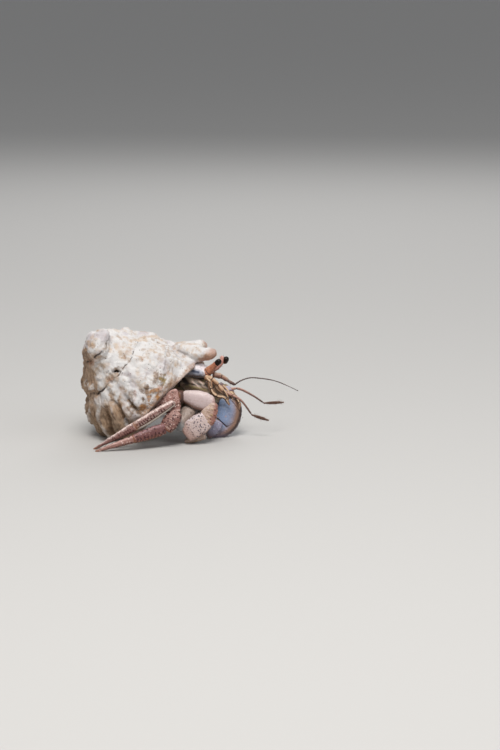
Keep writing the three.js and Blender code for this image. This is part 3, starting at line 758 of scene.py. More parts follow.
def carried(shape):
    # a rounded section carried along a path: half width across `side`, half depth at right angles,
    # closing in a quarter circle over its two noses
    shape = {**usual, **shape}
    rows, nose, wide = shape["rows"], shape["nose"], shape["wide"]
    first, last = nose if isinstance(nose, tuple) else (nose, nose)
    length = pathThrough(shape["path"], np.zeros(1))[2]
    arc = np.linspace(0.08, np.pi / 2, 9)
    straight = np.linspace(first, length - last, rows)[1:-1]
    away = np.concatenate([first * (1 - np.cos(arc)), straight, length - last * (1 - np.cos(arc[::-1]))])
    closing = np.concatenate([np.sin(arc), np.ones(rows - 2), np.sin(arc[::-1])])
    shares = away / length
    centre, ahead, _ = pathThrough(shape["path"], shares)
    side = unit(np.array(shape["side"], float))
    across = unit(side - (ahead @ side)[:, None] * ahead)
    other = np.cross(ahead, across)
    angle = circle(shape["columns"])
    w = halves(wide, np.cos(angle), shape["square"], shares, closing)
    d = halves(shape.get("deep", wide), np.sin(angle), shape["square"], shares, closing)
    grid = centre[:, None] + w[..., None] * across[:, None] + d[..., None] * other[:, None]
    lie = np.stack([np.broadcast_to(away[:, None], w.shape), w, d], -1)
    t, a = crossed(shares, angle)
    return dict(grid=grid, lie=lie, t=t, a=a, away=lie[..., 0], length=length, across=across, other=other)


def outwardOf(grid):
    # unit normals of a grid of rings, away from each ring's middle
    around = np.roll(grid, -1, 1) - np.roll(grid, 1, 1)
    ahead = np.gradient(grid, axis=0)
    normal = unit(np.cross(around, ahead))
    away = grid - grid.mean(1, keepdims=True)
    return normal * np.where((normal * away).sum((1, 2)) > 0, 1, -1)[:, None, None]


def facing(section, direction, half):
    # a band along the segment where its section faces a direction: a bell round it in degrees
    towards = unit(np.array(direction, float))
    middle = np.arctan2(section["other"] @ towards, section["across"] @ towards)[:, None]
    away = np.degrees(np.mod(section["a"] - middle + np.pi, 2 * np.pi) - np.pi)
    return bell(away / half)


def within(section, bounds, strength):
    # a flat-topped band along the segment, or 1 everywhere where it has no bounds
    return np.clip(strength * facing(section, *bounds), 0, 1) if bounds else 1


def cuticle(name, paint):
    # horny plate: a lighter crest, a flank and a darker underside, laid by which way it faces, so partly
    # its own colour and partly painted light and shade; drawn out in fine streaks, with granules, painted
    # highlight flecks on its upper side, dark spots, a dark rim and a dark tip, and a gloss broken by pores
    m = Surface(name, "under", paint)
    between, cloud, over = m.between, m.cloud, m.over
    fine = cloud(0.3, 5, 0.6)
    streak = cloud(1.0, 4, 0.6, place=m.stretched(m.mask("lie", "Vector"), (0.5, 3.2, 3.2)))
    lifted = m.loosened("rise", cloud(1.5, 5, 0.6, 0.5), 0.9)
    # painted light and shade: by the rise mask the upper side takes the lighter tones and the underside the
    # darker
    over("flank", between(lifted, -0.75, 0.05))
    over("crest", between(lifted, 0.25, 0.8))
    over("fleck", between(fine, 0.48, 0.66), 0.6)
    over("under", between(streak, 0.52, 0.72), 0.5)
    over("under", between(cloud(0.8, 4, 0.7), 0.53, 0.66), paint.get("mottle", 0.5))
    # painted highlights: light flecks only where the surface faces up
    over("grain", between(cloud(0.7, 4, 0.7), 0.54, 0.68), between("rise", -0.1, 0.5), 0.6)
    over("grain", between("grain", 0.25, 0.9), 0.8)
    # the band is the segment's own stripe on some segments, painted shade under the claw's merus and palm,
    # and a painted highlight along the palps and antennas
    over("band", "band")
    over("spot", between("spot", 0.2, 0.6))
    # the rim tone marks the far end's rim, the rings and the grooves; along the lines it is painted shade as
    # dark outlines
    over("rim", between("rim", 0.2, 0.85))
    over("tip", between("along", paint.get("tipFrom", 0.85), 1.02))
    lined = m.bump(streak, 0.35, 0.12, m.bump(fine, 0.45, 0.14))
    rough = m.ranged(fine, paint["gloss"], paint["gloss"] + 0.3)
    return m.done(Roughness=rough, Normal=m.bump(m.dots(0.22), 0.3, 0.05, lined))


def plate(node, shape, slot="feeler", ending="Plate"):
    # one segment: a carried section with its keels, grooves, swellings, granules and spots worked in
    shape = {**usual, **shape}
    section = carried(shape)
    grid, away, length = section["grid"], section["away"], section["length"]
    seed = sum(map(ord, node))
    out = outwardOf(grid)
    whole = smooth(0.15, 0.9, np.minimum(away, length - away))
    height = shape["swell"] * layered(grid, 2.2, seed, 3)
    for direction, half, raised in shape["keels"]:
        height += raised * facing(section, direction, half) * whole
    far, number = cells(grid, shape["grainSize"], seed)
    grain = (1 - smooth(0.16, 0.48, far)) * (number < shape["grains"]) * whole
    grain = grain * within(section, shape["grainsAt"], 1.4)
    # even spots are laid out on the segment's broad face, others in space
    where = section["lie"] * vec(1, 1, 0) if shape["evenSpots"] else grid
    far, number = cells(where, shape["spotSize"], seed + 31)
    reach = shape["spotReach"]
    spotted = (1 - smooth(0.6 * reach, reach, far)) * (number < shape["spots"]) * whole
    spotted = spotted * within(section, shape["spotsAt"], 1.5)
    for direction, half, spacing in shape["beads"]:
        step = away / spacing + 0.5 * blobs(grid, 1.6, seed + 3)
        there = smooth(-0.55, -0.2, blobs(grid, 0.9, seed + 5)) * whole
        bead = bell((step - np.round(step)) / 0.27) * facing(section, direction, half) * there
        spotted = np.maximum(spotted, bead)
    rim = bell((length - away - 0.3) / 0.26) * shape["rim"]
    # a raised ridge just short of the far end; below it takes the light grain tone as a painted highlight
    edge = bell((length - away - 0.95) / 0.28) * shape["rim"]
    height += shape["spotHeight"] * spotted + shape["grainHeight"] * grain
    height += shape["rimHeight"] * edge - shape["rimHeight"] * rim
    for share in shape["rings"]:
        ring = bell((section["t"] - share) * length / 0.14)
        height -= shape["ringDepth"] * ring
        rim = np.maximum(rim, ring)
    # the lines are shallow grooves that take the dark rim tone: partly painted shade, dark outlines along a
    # segment's edges where shadow falls between plates
    for direction, half, strength in shape["lines"]:
        line = strength * facing(section, direction, half)
        height -= shape["lineDepth"] * line
        rim = np.maximum(rim, line)
    direction, half, strength = shape["band"]
    band = strength * within(section, (direction, half), 1.3)
    # painted highlight on the ridge near the far end
    grain = np.maximum(grain, 1.2 * edge)
    # rise, the upward part of each normal, sets where the finish paints light and shade
    masks = dict(rise=out[..., 2], along=section["t"], grain=grain, spot=spotted, rim=rim, band=band)
    if shape["carve"]:
        height += shape["carve"](grid, out, masks)
    points, faces = ringMesh(grid + out * height[..., None])
    points[:, 2] = np.maximum(points[:, 2], 0)
    masks["lie"] = section["lie"]
    masks = {label: ringMask(values) for label, values in masks.items()}
    hairRoots.append((node, grid, out, section, shape["hair"]))
    nodes = [] if shape["free"] else [node]
    pieceOf(node + ending, points, faces, masks, materials[shape["paint"]], slot, *nodes)


hairRoots = []  # what each plate leaves for its bristles: node, grid, normals, section, count
joints = {  # where each limb's segments meet, root first
    "clawRight": [(-1.4, -4.6, 12.2), (7.3, -6.7, 10.9), (4.6, -8.2, 6.6), (-1.2, -8.8, 2.8), (-1, -6.2, 0)],
    "clawLeft": [(5.4, 5.4, 11.2), (10.2, 3.8, 13.4), (11.5, 2.1, 11.6), (7.8, -0.4, 4.8), (5.4, -1.4, 0.6)],
    "legTwoRight": [
        (0.9, -3.2, 10), (-2.9, -9.8, 4.6), (-6.8, -12.7, 5.4), (-15.5, -15.6, 3), (-25.3, -16.8, 0)],
    "legThreeRight": [
        (-1.4, -4.4, 12.6), (-3.2, -7.4, 13.2), (-4.3, -11.3, 12.3), (-15.1, -13.8, 6), (-26, -14.2, 0)],
    "legTwoLeft": [(3, 7, 10), (3.8, 12.2, 12.6), (4.8, 17, 10.2), (3.8, 22.6, 2.6), (-5.2, 26.4, 0)],
    "legThreeLeft": [(0.8, 8.2, 10), (1.9, 14.4, 11.2), (0.2, 19.4, 9.4), (-4.6, 26.2, 2), (-16, 28.6, 0)],
}
paints = {  # gloss is the least roughness, mottle the strength of the under tone's blotches on top
    # crest, flank and under are the tones for the top, the sides and the underside, so their step from light
    # to dark is partly painted light and shade
    "rosy": dict(
        crest=(0.54, 0.34, 0.3), flank=(0.3, 0.145, 0.12), under=(0.16, 0.065, 0.04),
        fleck=(0.36, 0.2, 0.17), grain=(0.7, 0.52, 0.47), spot=(0.055, 0.01, 0.01), rim=(0.1, 0.035, 0.022),
        tip=(0.26, 0.1, 0.04), band=(0.4, 0.37, 0.3), gloss=0.34, mottle=0.7),
    "pale": dict(
        crest=(0.66, 0.55, 0.53), flank=(0.56, 0.45, 0.44), under=(0.4, 0.26, 0.21),
        fleck=(0.62, 0.48, 0.48), grain=(0.66, 0.56, 0.55), spot=(0.085, 0.065, 0.085),
        # the pale band tone is a near-black brown, painted shade under the claw's merus and palm
        rim=(0.08, 0.035, 0.022), tip=(0.54, 0.35, 0.31), band=(0.13, 0.058, 0.035), gloss=0.3,
        mottle=0.25),
    "blue": dict(
        crest=(0.31, 0.385, 0.54), flank=(0.2, 0.28, 0.45), under=(0.22, 0.2, 0.28),
        fleck=(0.38, 0.44, 0.56), grain=(0.46, 0.48, 0.56), spot=(0.34, 0.28, 0.32),
        rim=(0.05, 0.02, 0.015), tip=(0.27, 0.23, 0.31), band=(0.27, 0.155, 0.11), gloss=0.28, mottle=0.35,
        tipFrom=0.55),
    "horn": dict(
        crest=(0.52, 0.32, 0.19), flank=(0.33, 0.16, 0.08), under=(0.13, 0.055, 0.03),
        fleck=(0.42, 0.25, 0.15), grain=(0.66, 0.5, 0.37), spot=(0.1, 0.04, 0.02), rim=(0.05, 0.02, 0.012),
        # the horn band tone is a painted highlight, a pale stripe along the palps and antennas
        tip=(0.24, 0.12, 0.08), band=(0.66, 0.48, 0.32), gloss=0.26),
    "shield": dict(
        crest=(0.8, 0.74, 0.76), flank=(0.36, 0.38, 0.46), under=(0.14, 0.12, 0.12),
        fleck=(0.62, 0.57, 0.6), grain=(0.78, 0.73, 0.75), spot=(0.1, 0.115, 0.17), rim=(0.3, 0.17, 0.11),
        tip=(0.55, 0.4, 0.33), band=(0.4, 0.38, 0.42), gloss=0.28, mottle=0.25),
}
variants = [  # name, the paint that it is like, and where it differs
    ("rod", "rosy", dict(
        crest=(0.84, 0.68, 0.63), flank=(0.22, 0.1, 0.085), under=(0.09, 0.035, 0.025),
        fleck=(0.4, 0.22, 0.19), grain=(0.86, 0.71, 0.66), mottle=0.8, band=(0.58, 0.55, 0.48))),
    # shade: near-black paint standing for painted shade, for the third right leg's merus, which sits in a
    # dark gap
    ("shade", "rosy", dict(
        crest=(0.13, 0.065, 0.05), flank=(0.075, 0.035, 0.028), fleck=(0.11, 0.05, 0.04),
        grain=(0.14, 0.07, 0.055), under=(0.045, 0.022, 0.016))),
    ("plum", "rosy", dict(
        crest=(0.24, 0.115, 0.12), flank=(0.14, 0.05, 0.05), under=(0.27, 0.1, 0.045),
        fleck=(0.22, 0.1, 0.1), grain=(0.44, 0.29, 0.29), mottle=0.4)),
    ("brick", "rosy", dict(
        crest=(0.38, 0.21, 0.18), flank=(0.2, 0.085, 0.07), under=(0.09, 0.04, 0.025),
        fleck=(0.24, 0.13, 0.1), grain=(0.56, 0.39, 0.34), mottle=0.9)),
    ("cream", "pale", dict(
        crest=(0.62, 0.49, 0.41), flank=(0.46, 0.33, 0.26), under=(0.24, 0.15, 0.09),
        grain=(0.42, 0.31, 0.13), mottle=0.2, spot=(0.15, 0.03, 0.02), band=(0.27, 0.1, 0.075))),
    ("strap", "pale", dict(
        crest=(0.34, 0.265, 0.225), flank=(0.24, 0.175, 0.14), under=(0.1, 0.07, 0.055),
        tip=(0.25, 0.25, 0.25), fleck=(0.34, 0.27, 0.23), grain=(0.48, 0.4, 0.35), mottle=0.6,
        tipFrom=0.7)),
    ("dotted", "pale", dict(
        crest=(0.66, 0.585, 0.6), flank=(0.55, 0.44, 0.42), tip=(0.43, 0.27, 0.23),
        grain=(0.56, 0.42, 0.37), mottle=0.35, tipFrom=0.5)),
    ("lilac", "blue", dict(crest=(0.42, 0.38, 0.47), flank=(0.31, 0.28, 0.39), tip=(0.2, 0.12, 0.11))),
    ("dusk", "horn", dict(
        crest=(0.13, 0.075, 0.06), flank=(0.075, 0.04, 0.032), under=(0.04, 0.022, 0.018),
        fleck=(0.11, 0.06, 0.05), tip=(0.06, 0.03, 0.025))),
    ("pinkish", "horn", dict(
        crest=(0.5, 0.3, 0.25), flank=(0.38, 0.19, 0.15), tip=(0.1, 0.055, 0.045), tipFrom=0.25)),
    ("rusty", "horn", dict(
        crest=(0.24, 0.12, 0.075), flank=(0.15, 0.065, 0.04), under=(0.08, 0.035, 0.022),
        fleck=(0.2, 0.1, 0.06), tip=(0.12, 0.05, 0.03))),
    ("stalk", "horn", dict(
        crest=(0.56, 0.27, 0.16), flank=(0.43, 0.16, 0.085), under=(0.24, 0.08, 0.04),
        fleck=(0.58, 0.28, 0.17), tip=(0.46, 0.15, 0.09), grain=(0.6, 0.34, 0.24))),
    ("blush", "stalk", dict(crest=(0.62, 0.38, 0.32), flank=(0.44, 0.2, 0.16), tip=(0.6, 0.33, 0.28))),
]
for name, like, changes in variants:
    paints[name] = {**paints[like], **changes}


def scored(*marks):
    # grooves scored into the near side: each from one (x, z) to another, with its half width, its
    # depth, the mask that it darkens and how much
    def carve(grid, out, masks):
        total = 0
        for start, end, half, depth, label, strength in marks:
            mark = bell(fromLine(grid[..., [0, 2]], [start, end]) / half) * smooth(0.25, -0.2, out[..., 1])
            masks[label] = np.maximum(masks[label], strength * mark)
            total = total - depth * mark
        return total

    return carve


def limbs():
    # four segments for each limb, root first
    flat = (1, 0, 0.4)
    plum = dict(paint="plum", deep=[1.1, 1.2, 1.1, 0.85], nose=(0.6, 0.35), rim=0.35, hair=70)
    toe = dict(paint="rosy", wide=[1.05, 0.85, 0.55, 0.3], deep=[0.85, 0.75, 0.5, 0.3], nose=0.35, hair=70)
    rod = dict(paint="rod", grains=0.8, hair=70)
    dense = dict(spots=1, spotReach=0.42, evenSpots=True)
    walkTwo = [
        dict(paint="strap", wide=[1.5, 2, 2, 1.5], deep=([1.8, 2.1, 1.7, 1.2], [2.2, 2.5, 1.9, 1.2]),
             rim=0.6, keels=[((0.9, 0, 0.4), 14, 0.12)],
             lines=[((1, -0.3, 0.1), 9, 0.9), ((-1, -0.35, 0.1), 12, 1)], grains=0.15, nose=(0.8, 0.4)),
        dict(dense, paint="brick", side=flat, wide=[1.4, 2.2, 2.3, 1.6], deep=[1, 1.35, 1.3, 1], square=2.8,
             grains=0.7, spotSize=0.58, nose=(0.5, 0.4), rim=0.5, path=[(-2.8, -10.9, 10), (-6.4, -12.5, 5)]),
        dict(plum, wide=[1.45, 1.6, 1.4, 1.1], square=2.6, spots=0.75, keels=[((0, -0.3, 1), 18, 0.12)],
             beads=[((0, -1, -0.9), 13, 0.9), ((0, -1, -0.3), 12, 1.1)]),
        dict(toe, spots=0.5, beads=[((0, -1, -0.6), 13, 0.9)]),
    ]
    walkThree = [
        # painted shade: this merus sits in a shadowed gap, so its whole paint is near-black
        dict(paint="shade", wide=[1.7, 1.9, 1.7], deep=[1.1, 1.2, 1.1], grains=0.8),
        dict(paint="rosy", side=flat, wide=([0.7, 1.1, 1.5, 1.3], [0.8, 4.2, 5.8, 4.8]),
             deep=[0.9, 1.1, 1.1, 0.9], grains=0.95, spots=0.5, spotSize=0.8, square=2.5, nose=(0.6, 0.5),
             rim=0.8, keels=[((1, -1, 0), 16, 0.22)], lines=[((1, -0.2, 0), 10, 0.8)],
             path=[(-3.7, -7.6, 15.6), (-3.5, -9.3, 8.9)],
             carve=scored(((-5.6, 10.9), (-1.2, 12.2), 0.16, 0.14, "rim", 0.9),
                          ((-1.8, 12.4), (-1.2, 10.2), 0.14, 0.12, "rim", 0.7))),
        dict(rod, grains=0.85, wide=([0.75, 1.15, 1.2, 1.2], [0.75, 1.3, 1.6, 1.3]),
             deep=[0.95, 1.1, 1.05, 0.95], nose=(0.7, 0.3), square=2.5, grainSize=0.7,
             keels=[((0, -0.55, 1), 17, 0.2), ((0, 0.7, 1), 16, 0.12)], grainsAt=((0, -0.4, 1), 50),
             lines=[((0, 0.1, 1), 8, 0.8), ((0, -1, -0.48), 9, 0.95), ((0, -1, 0.35), 5, 0.45)],
             beads=[((0, -1, 0.12), 11, 0.72), ((0, -1, -0.22), 11, 0.9)], band=((0, -1, -1), 27, 0.85)),
        dict(rod, wide=[1.27, 1.1, 0.85, 0.5, 0.26], deep=[0.97, 0.95, 0.75, 0.45, 0.25], nose=0.3,
             keels=[((0, -0.55, 1), 17, 0.14)], beads=[((0, -1, 0.1), 13, 0.72), ((0, -1, -0.5), 13, 0.9)],
             grainsAt=((0, -0.3, 1), 50)),
    ]
    farTwo = [
        dict(paint="strap", wide=[1.6, 2.1, 2, 1.5], deep=[1.1, 1.3, 1.2, 1], nose=(0.8, 0.4), rim=0.6),
        dict(paint="rosy", side=flat, wide=[1.3, 1.9, 2.1, 1.6], deep=[1, 1.3, 1.2, 1], square=2.6,
             grains=0.95, spots=0.5, nose=(0.5, 0.4), rim=0.5),
        dict(plum, wide=[1.4, 1.6, 1.4, 1.1], square=2.5, spots=0.7, keels=[((0, 0.3, 1), 18, 0.12)]),
        dict(toe, spots=0.6),
    ]
    clawRight = [
        dict(paint="pale", path=[(-2.1, -5, 13.2), (2.4, -6.2, 12.2), (7.4, -6.8, 11.3)],
             wide=([1.3, 2.2, 2.65, 2.5, 1.3], [0.9, 1.9, 2.7, 2.9, 1.7]), deep=[1.3, 1.65, 1.6, 1.3],
             # the band under the merus is painted shade where it faces down
             nose=(1, 0.8), grains=0.12, rim=0.35, rows=120, columns=100, band=((0, -0.8, -1), 18, 0.85),
             keels=[((0, -0.7, -1), 10, 0.18)], square=2.4, swell=0.04, lines=[((0, -0.5, -1), 13, 1)],
             carve=scored(((6.4, 12.3), (8, 10.9), 0.16, 0.1, "rim", 0.5))),
        dict(paint="cream", side=(1, 0, 0.6), wide=([1.1, 1.6, 1.9, 2, 1.5], [0.8, 1.7, 2.5, 2.6, 2]),
             deep=[1.2, 1.6, 1.6, 1.4], nose=(0.6, 0.5), square=2.8, grains=1, grainSize=0.8,
             grainHeight=0.3, grainsAt=((0.7, -1, 0), 50), rim=0.5, spots=0.95, spotSize=0.8,
             spotsAt=((0.8, -1, 0), 48), rows=110, columns=90, band=((1, -0.9, 0), 40, 0.85),
             path=[(7.2, -7.1, 11.6), (4.9, -8, 5.4)]),
        dict(dense, paint="dotted", side=(-0.4, 0, 1), wide=([2.5, 3, 3, 2.5], [2.4, 2.9, 2.8, 2.3]),
             deep=[1.4, 1.8, 1.7, 1.2], nose=(0.4, 0.6), square=3.3, spotSize=0.56, rows=120, columns=190,
             # the band under the palm is painted shade where it faces down
             band=((0.5, -0.3, -1), 20, 0.7), grains=0.8, grainSize=0.5, hair=60, rim=0.3),
        dict(paint="cream", wide=[1.4, 1.25, 0.7], deep=[1.1, 1, 0.6], nose=0.5, grains=0.5, hair=50,
             path=[(4.6, -7.5, 2.7), (1.4, -6.9, 1.3), (-1.1, -6.4, 0)]),
    ]
    clawLeft = [
        dict(paint="lilac", wide=[1.8, 2.1, 1.8], deep=[1.4, 1.6, 1.5], nose=0.7),
        dict(paint="lilac", side=(0, 1, 0), wide=[1.6, 2, 1.9], deep=[1.3, 1.5, 1.6], grains=0.8, rim=0.4),
        dict(paint="blue", side=(1, 0, -0.2), wide=([2, 3.7, 3.8, 2.7, 1.1], [3.4, 4.1, 3.6, 2.6, 1]),
             deep=[1.7, 2.6, 2.4, 1.7, 0.7], nose=0.9, rows=150, columns=130, square=2.5, spots=0.2,
             swell=0.1, path=[(11.4, 2, 11.3), (11.2, 1.6, 7.3), (9.6, 0.9, 3.4), (5.4, 0.2, 0.2)],
             grains=0.5, grainsAt=((1, -0.3, 0.3), 50), grainHeight=0.16, grainSize=0.7,
             band=((1, -0.95, -0.1), 30, 1), lines=[((1, -0.52, -0.12), 21, 0.95)], hair=60,
             carve=scored(((8, 5.5), (10.6, 3.2), 0.22, 0.25, "rim", 1),
                          ((10.6, 3.2), (12.6, 4.4), 0.15, 0.1, "rim", 0.5))),
        dict(paint="lilac", side=(1, 0, 0), wide=([1.9, 2.2, 1.7, 0.7], [1.6, 1.7, 1.4, 0.7]),
             deep=[0.9, 1.1, 0.9, 0.6], nose=0.5,
             path=[(7.9, -1.5, 5.4), (6.8, -1.9, 3.2), (5.3, -1.9, 0.4)], lines=[((1, -0.6, -0.4), 9, 0.6)],
             hair=30),
    ]
    into, clear = 0.8, 0.1  # how far a segment starts inside the one before it, and ends short of its joint
    sets = {"clawLeft": clawLeft, "legThreeLeft": farTwo, "legTwoLeft": farTwo, "legThreeRight": walkThree,
            "legTwoRight": walkTwo, "clawRight": clawRight}
    for limb, shapes in sets.items():
        leg = limb.startswith("leg")
        labels = ["Merus", "Carpus", "Propodus", "Dactyl"] if leg else ["Merus", "Carpus", "Palm", "Finger"]
        for i, (label, shape) in enumerate(zip(labels, shapes)):
            a, b = np.array(joints[limb][i : i + 2], float)
            run = unit(b - a)
            path = shape.get("path") or [a - run * (into if i > 1 else 0), b - run * (0 if i == 3 else clear)]
            slot = "claw" if not leg else "leg" if i else "plate"
            plate(limb + label, {**shape, "path": path}, slot)


def skin():
    # the soft body: the trunk, the roots of the limbs and the folds in their joints, one surface
    trunk = carried(dict(
        path=[(-6.5, 6.2, 15.4), (-1, 4.2, 14.2), (4.2, 2.4, 13.6), (7.6, 1.4, 14.6)], side=headLeft,
        wide=[3.5, 3.65, 3.35, 2.1], deep=[3.5, 3.5, 3.2, 2.1], nose=1.4, columns=48, rows=40))
    parts = [ringMesh(trunk["grid"])]
    belly = [  # centre, direction, half sizes
        (vec(1.2, 1, 9.6), vec(1, 0, 0.1), [5.4, 3.6, 2.9]),
        (vec(5.6, 0.6, 10.9), vec(1, 0.2, 0.2), [3.2, 2.6, 2.4]),
        (vec(8.6, 1.6, 11.6), vec(1, 0, 0.3), [1.9, 1.5, 1.3])]
    for centre, along, sizes in belly:
        parts.append(lump(centre, along, vec(0, 1, 0), sizes))
    bare = [("legTwoRight", 1), ("legThreeRight", 1), ("clawRight", 3)]  # joints that their plates close
    widths = {1: 0.78, 2: 0.74, 3: 0.6}
    upright = vec(0.1, 0.2, 1)
    for limb, places in joints.items():
        thick = 1.35 if limb.startswith("claw") else 1.1
        places = np.array(places, float)
        run = places[1] - places[0]
        parts.append(lump(places[0] - 1.3 * unit(run), run, upright, [2.3, 1.4 * thick, 1.3 * thick]))
        for i, size in widths.items():
            if (limb, i) not in bare:
                size = 0.5 if (limb, i) == ("clawRight", 1) else size
                parts.append(lump(places[i], places[i + 1] - places[i], upright, [size * thick] * 3, 12, 16))
    soft, _ = rawMesh("soft", *joined(parts))
    finished(soft, "REMESH", mode="VOXEL", voxel_size=0.24)
    finished(soft, "SMOOTH", factor=0.5, iterations=8)
    points, normals, faces = surfaceOf(soft)
    bpy.data.objects.remove(soft)
    slant = points + vec(0, 0, 0.35) * points[:, :1]
    fold = layered(slant * vec(0.45, 1.3, 1.6), 1.4, 71, 3)
    crease = 1 - np.clip(np.abs(blobs(slant * vec(0.35, 0.9, 1.5), 1.7, 77)) * 4.0, 0, 1)
    points = points + normals * (0.13 * fold - 0.16 * crease)[:, None]
    points[:, 2] = np.maximum(points[:, 2], 0.05)
    masks = {"fold": np.clip(0.5 + fold, 0, 1), "crease": crease, "rise": normals[:, 2]}
    streaks = {  # how far they stand out; lines on the front plane with their half widths
        "light": (0.14, [([(1.4, 17), (2.6, 16.2), (3.9, 14.8)], 0.34), ([(4.4, 16.4), (5.6, 15)], 0.3),
                         ([(0.9, 15.5), (2, 14.9), (3.1, 13.7)], 0.26)]),
        "moss": (0.08, [([(0.2, 14.4), (2.6, 13.9), (4.9, 13.3)], 0.2), ([(6.2, 13.2), (7.9, 11.8)], 0.3)]),
        "shadow": (-0.1, [([(-1.8, 16.6), (-0.6, 15.2), (0.2, 13.6)], 0.9), ([(4.3, 15.6), (5.2, 14)], 0.22),
                          ([(1.2, 16.2), (2.4, 15.5), (3.4, 14.3)], 0.16)]),
    }
    flat, height = frontPlane(points), 0
    for label, (raised, lines) in streaks.items():
        drawn = np.max([bell(fromLine(flat, line) / half) for line, half in lines], axis=0)
        masks[label] = drawn * (points[:, 1] < 3) * (0.7 + 0.3 * fold)
        height = height + raised * masks[label]
    points = points + normals * height[:, None]
    pieceOf("softSkin", points, faces, masks, skinMaterial(), "body", "trunk")


def skinMaterial():
    # olive-brown leathery skin, paler on its folds, with a wet gloss; the darkness in its creases and on its
    # downward faces is painted shade
    m = Surface("softBody", (0.115, 0.075, 0.048), {})
    between, over = m.between, m.over
    fine = m.cloud(0.35, 5, 0.6)
    over((0.22, 0.15, 0.095), between(m.cloud(2.0, 4, 0.6, 0.6), 0.4, 0.65))
    over((0.4, 0.3, 0.22), between("fold", 0.55, 0.9), 0.6)
    over((0.3, 0.17, 0.12), between(fine, 0.55, 0.7), 0.4)
    over((0.2, 0.18, 0.07), between(m.cloud(1.3, 3), 0.56, 0.66), 0.7)
    # painted shade in the creases
    over((0.03, 0.018, 0.012), between("crease", 0.35, 0.95))
    # painted shade where the skin faces down
    over((0.05, 0.032, 0.022), between("rise", 0.1, -0.7), 0.6)
    over((0.5, 0.38, 0.32), between("light", 0.2, 0.75))
    over((0.34, 0.28, 0.11), between("moss", 0.2, 0.75))
    over((0.02, 0.013, 0.01), between("shadow", 0.2, 0.8))
    wet = dict(Subsurface_Weight=0.08, Subsurface_Scale=0.6 * mm, Roughness=m.ranged(fine, 0.32, 0.6))
    return m.done(Normal=m.bump(fine, 0.5, 0.12), **wet)


def head():
    # the shield, and two stalks from its front, each with its eye
    grooves = scored(((0.9, 18.95), (2.6, 18.6), 0.42, 0.1, "spot", 0.75),
                     ((-2, 17.6), (4.6, 17), 0.2, 0.16, "rim", 0.6),
                     ((3.2, 20.2), (4, 17.6), 0.13, 0.1, "spot", 0.3))
    plate("shield", dict(
        path=[(-3, 5, 17.8), (1, 3.7, 18.6), (5.8, 1.7, 18)], side=headLeft, wide=[2.6, 3.2, 3, 2.3],
        deep=[1.9, 2.2, 2.1, 1.3], nose=(0.9, 0.7), columns=120, rows=120, grains=0.12, paint="shield",
        swell=0.05, square=2.15, carve=grooves), "plate")
    stem = dict(side=headLeft, nose=(0.35, 0.2), grains=0, rings=[0.2], hair=16)
    root = vec(5.6, 2, 18.6)
    start = root - headLeft * 1.1
    run = vec(8.3, -0.8, 21.8) - start
    eye("Right", start + 0.72 * run, start + 1.2 * run)
    plate("eyestalkRight", dict(
        stem, path=[start - 0.1 * run, start + 0.86 * run], wide=[1.45, 1.2, 0.95, 0.8, 0.74],
        paint="stalk"))
    start = root + headLeft * 1.1
    run = vec(10.2, 4.5, 21.3) - start
    eye("Left", vec(9.6, 4.1, 20.3), vec(10.8, 4.6, 22.2))
    plate("eyestalkLeft", dict(
        stem, path=[start - 0.1 * run, start + 0.6 * run + vec(0.05, 0, 0), vec(9.45, 4.3, 22.45)],
        wide=[1.2, 0.95, 0.82, 0.72, 0.42], paint="blush"))


def eye(name, back, front):
    # the black cornea, an egg that caps its stalk, notched where the stalk reaches up its inner side
    section = carried(dict(path=[back, front], side=headLeft, wide=[0.7, 0.83, 0.81, 0.66], nose=0.68,
                           rows=60))
    out = outwardOf(section["grid"])
    notch = facing(section, (-0.3, 0.9, 0.5) if name == "Right" else (-0.3, -0.9, 0.5), 30)
    grid = section["grid"] - out * (0.14 * notch * (1 - smooth(0.2, 0.55, section["t"])))[..., None]
    masks = {"along": ringMask(section["t"])}
    pieceOf("cornea" + name, *ringMesh(grid), masks, eyeMaterial(), "eye", "eye" + name)


def eyeMaterial():
    # black cornea of tiny facets, a shade browner at its base, with a clear wet coat
    m = Surface("cornea", (0.008, 0.004, 0.002), {})
    m.over((0.08, 0.025, 0.01), m.between("along", 0.3, 0.05))
    m.over((0.018, 0.009, 0.005), m.between(m.cloud(0.4), 0.5, 0.7), 0.5)
    return m.done(Roughness=0.22, Specular_IOR_Level=0.16, Coat_Weight=0.08, Coat_Roughness=0.05,
                  Normal=m.bump(m.dots(0.07), 0.12, 0.015))


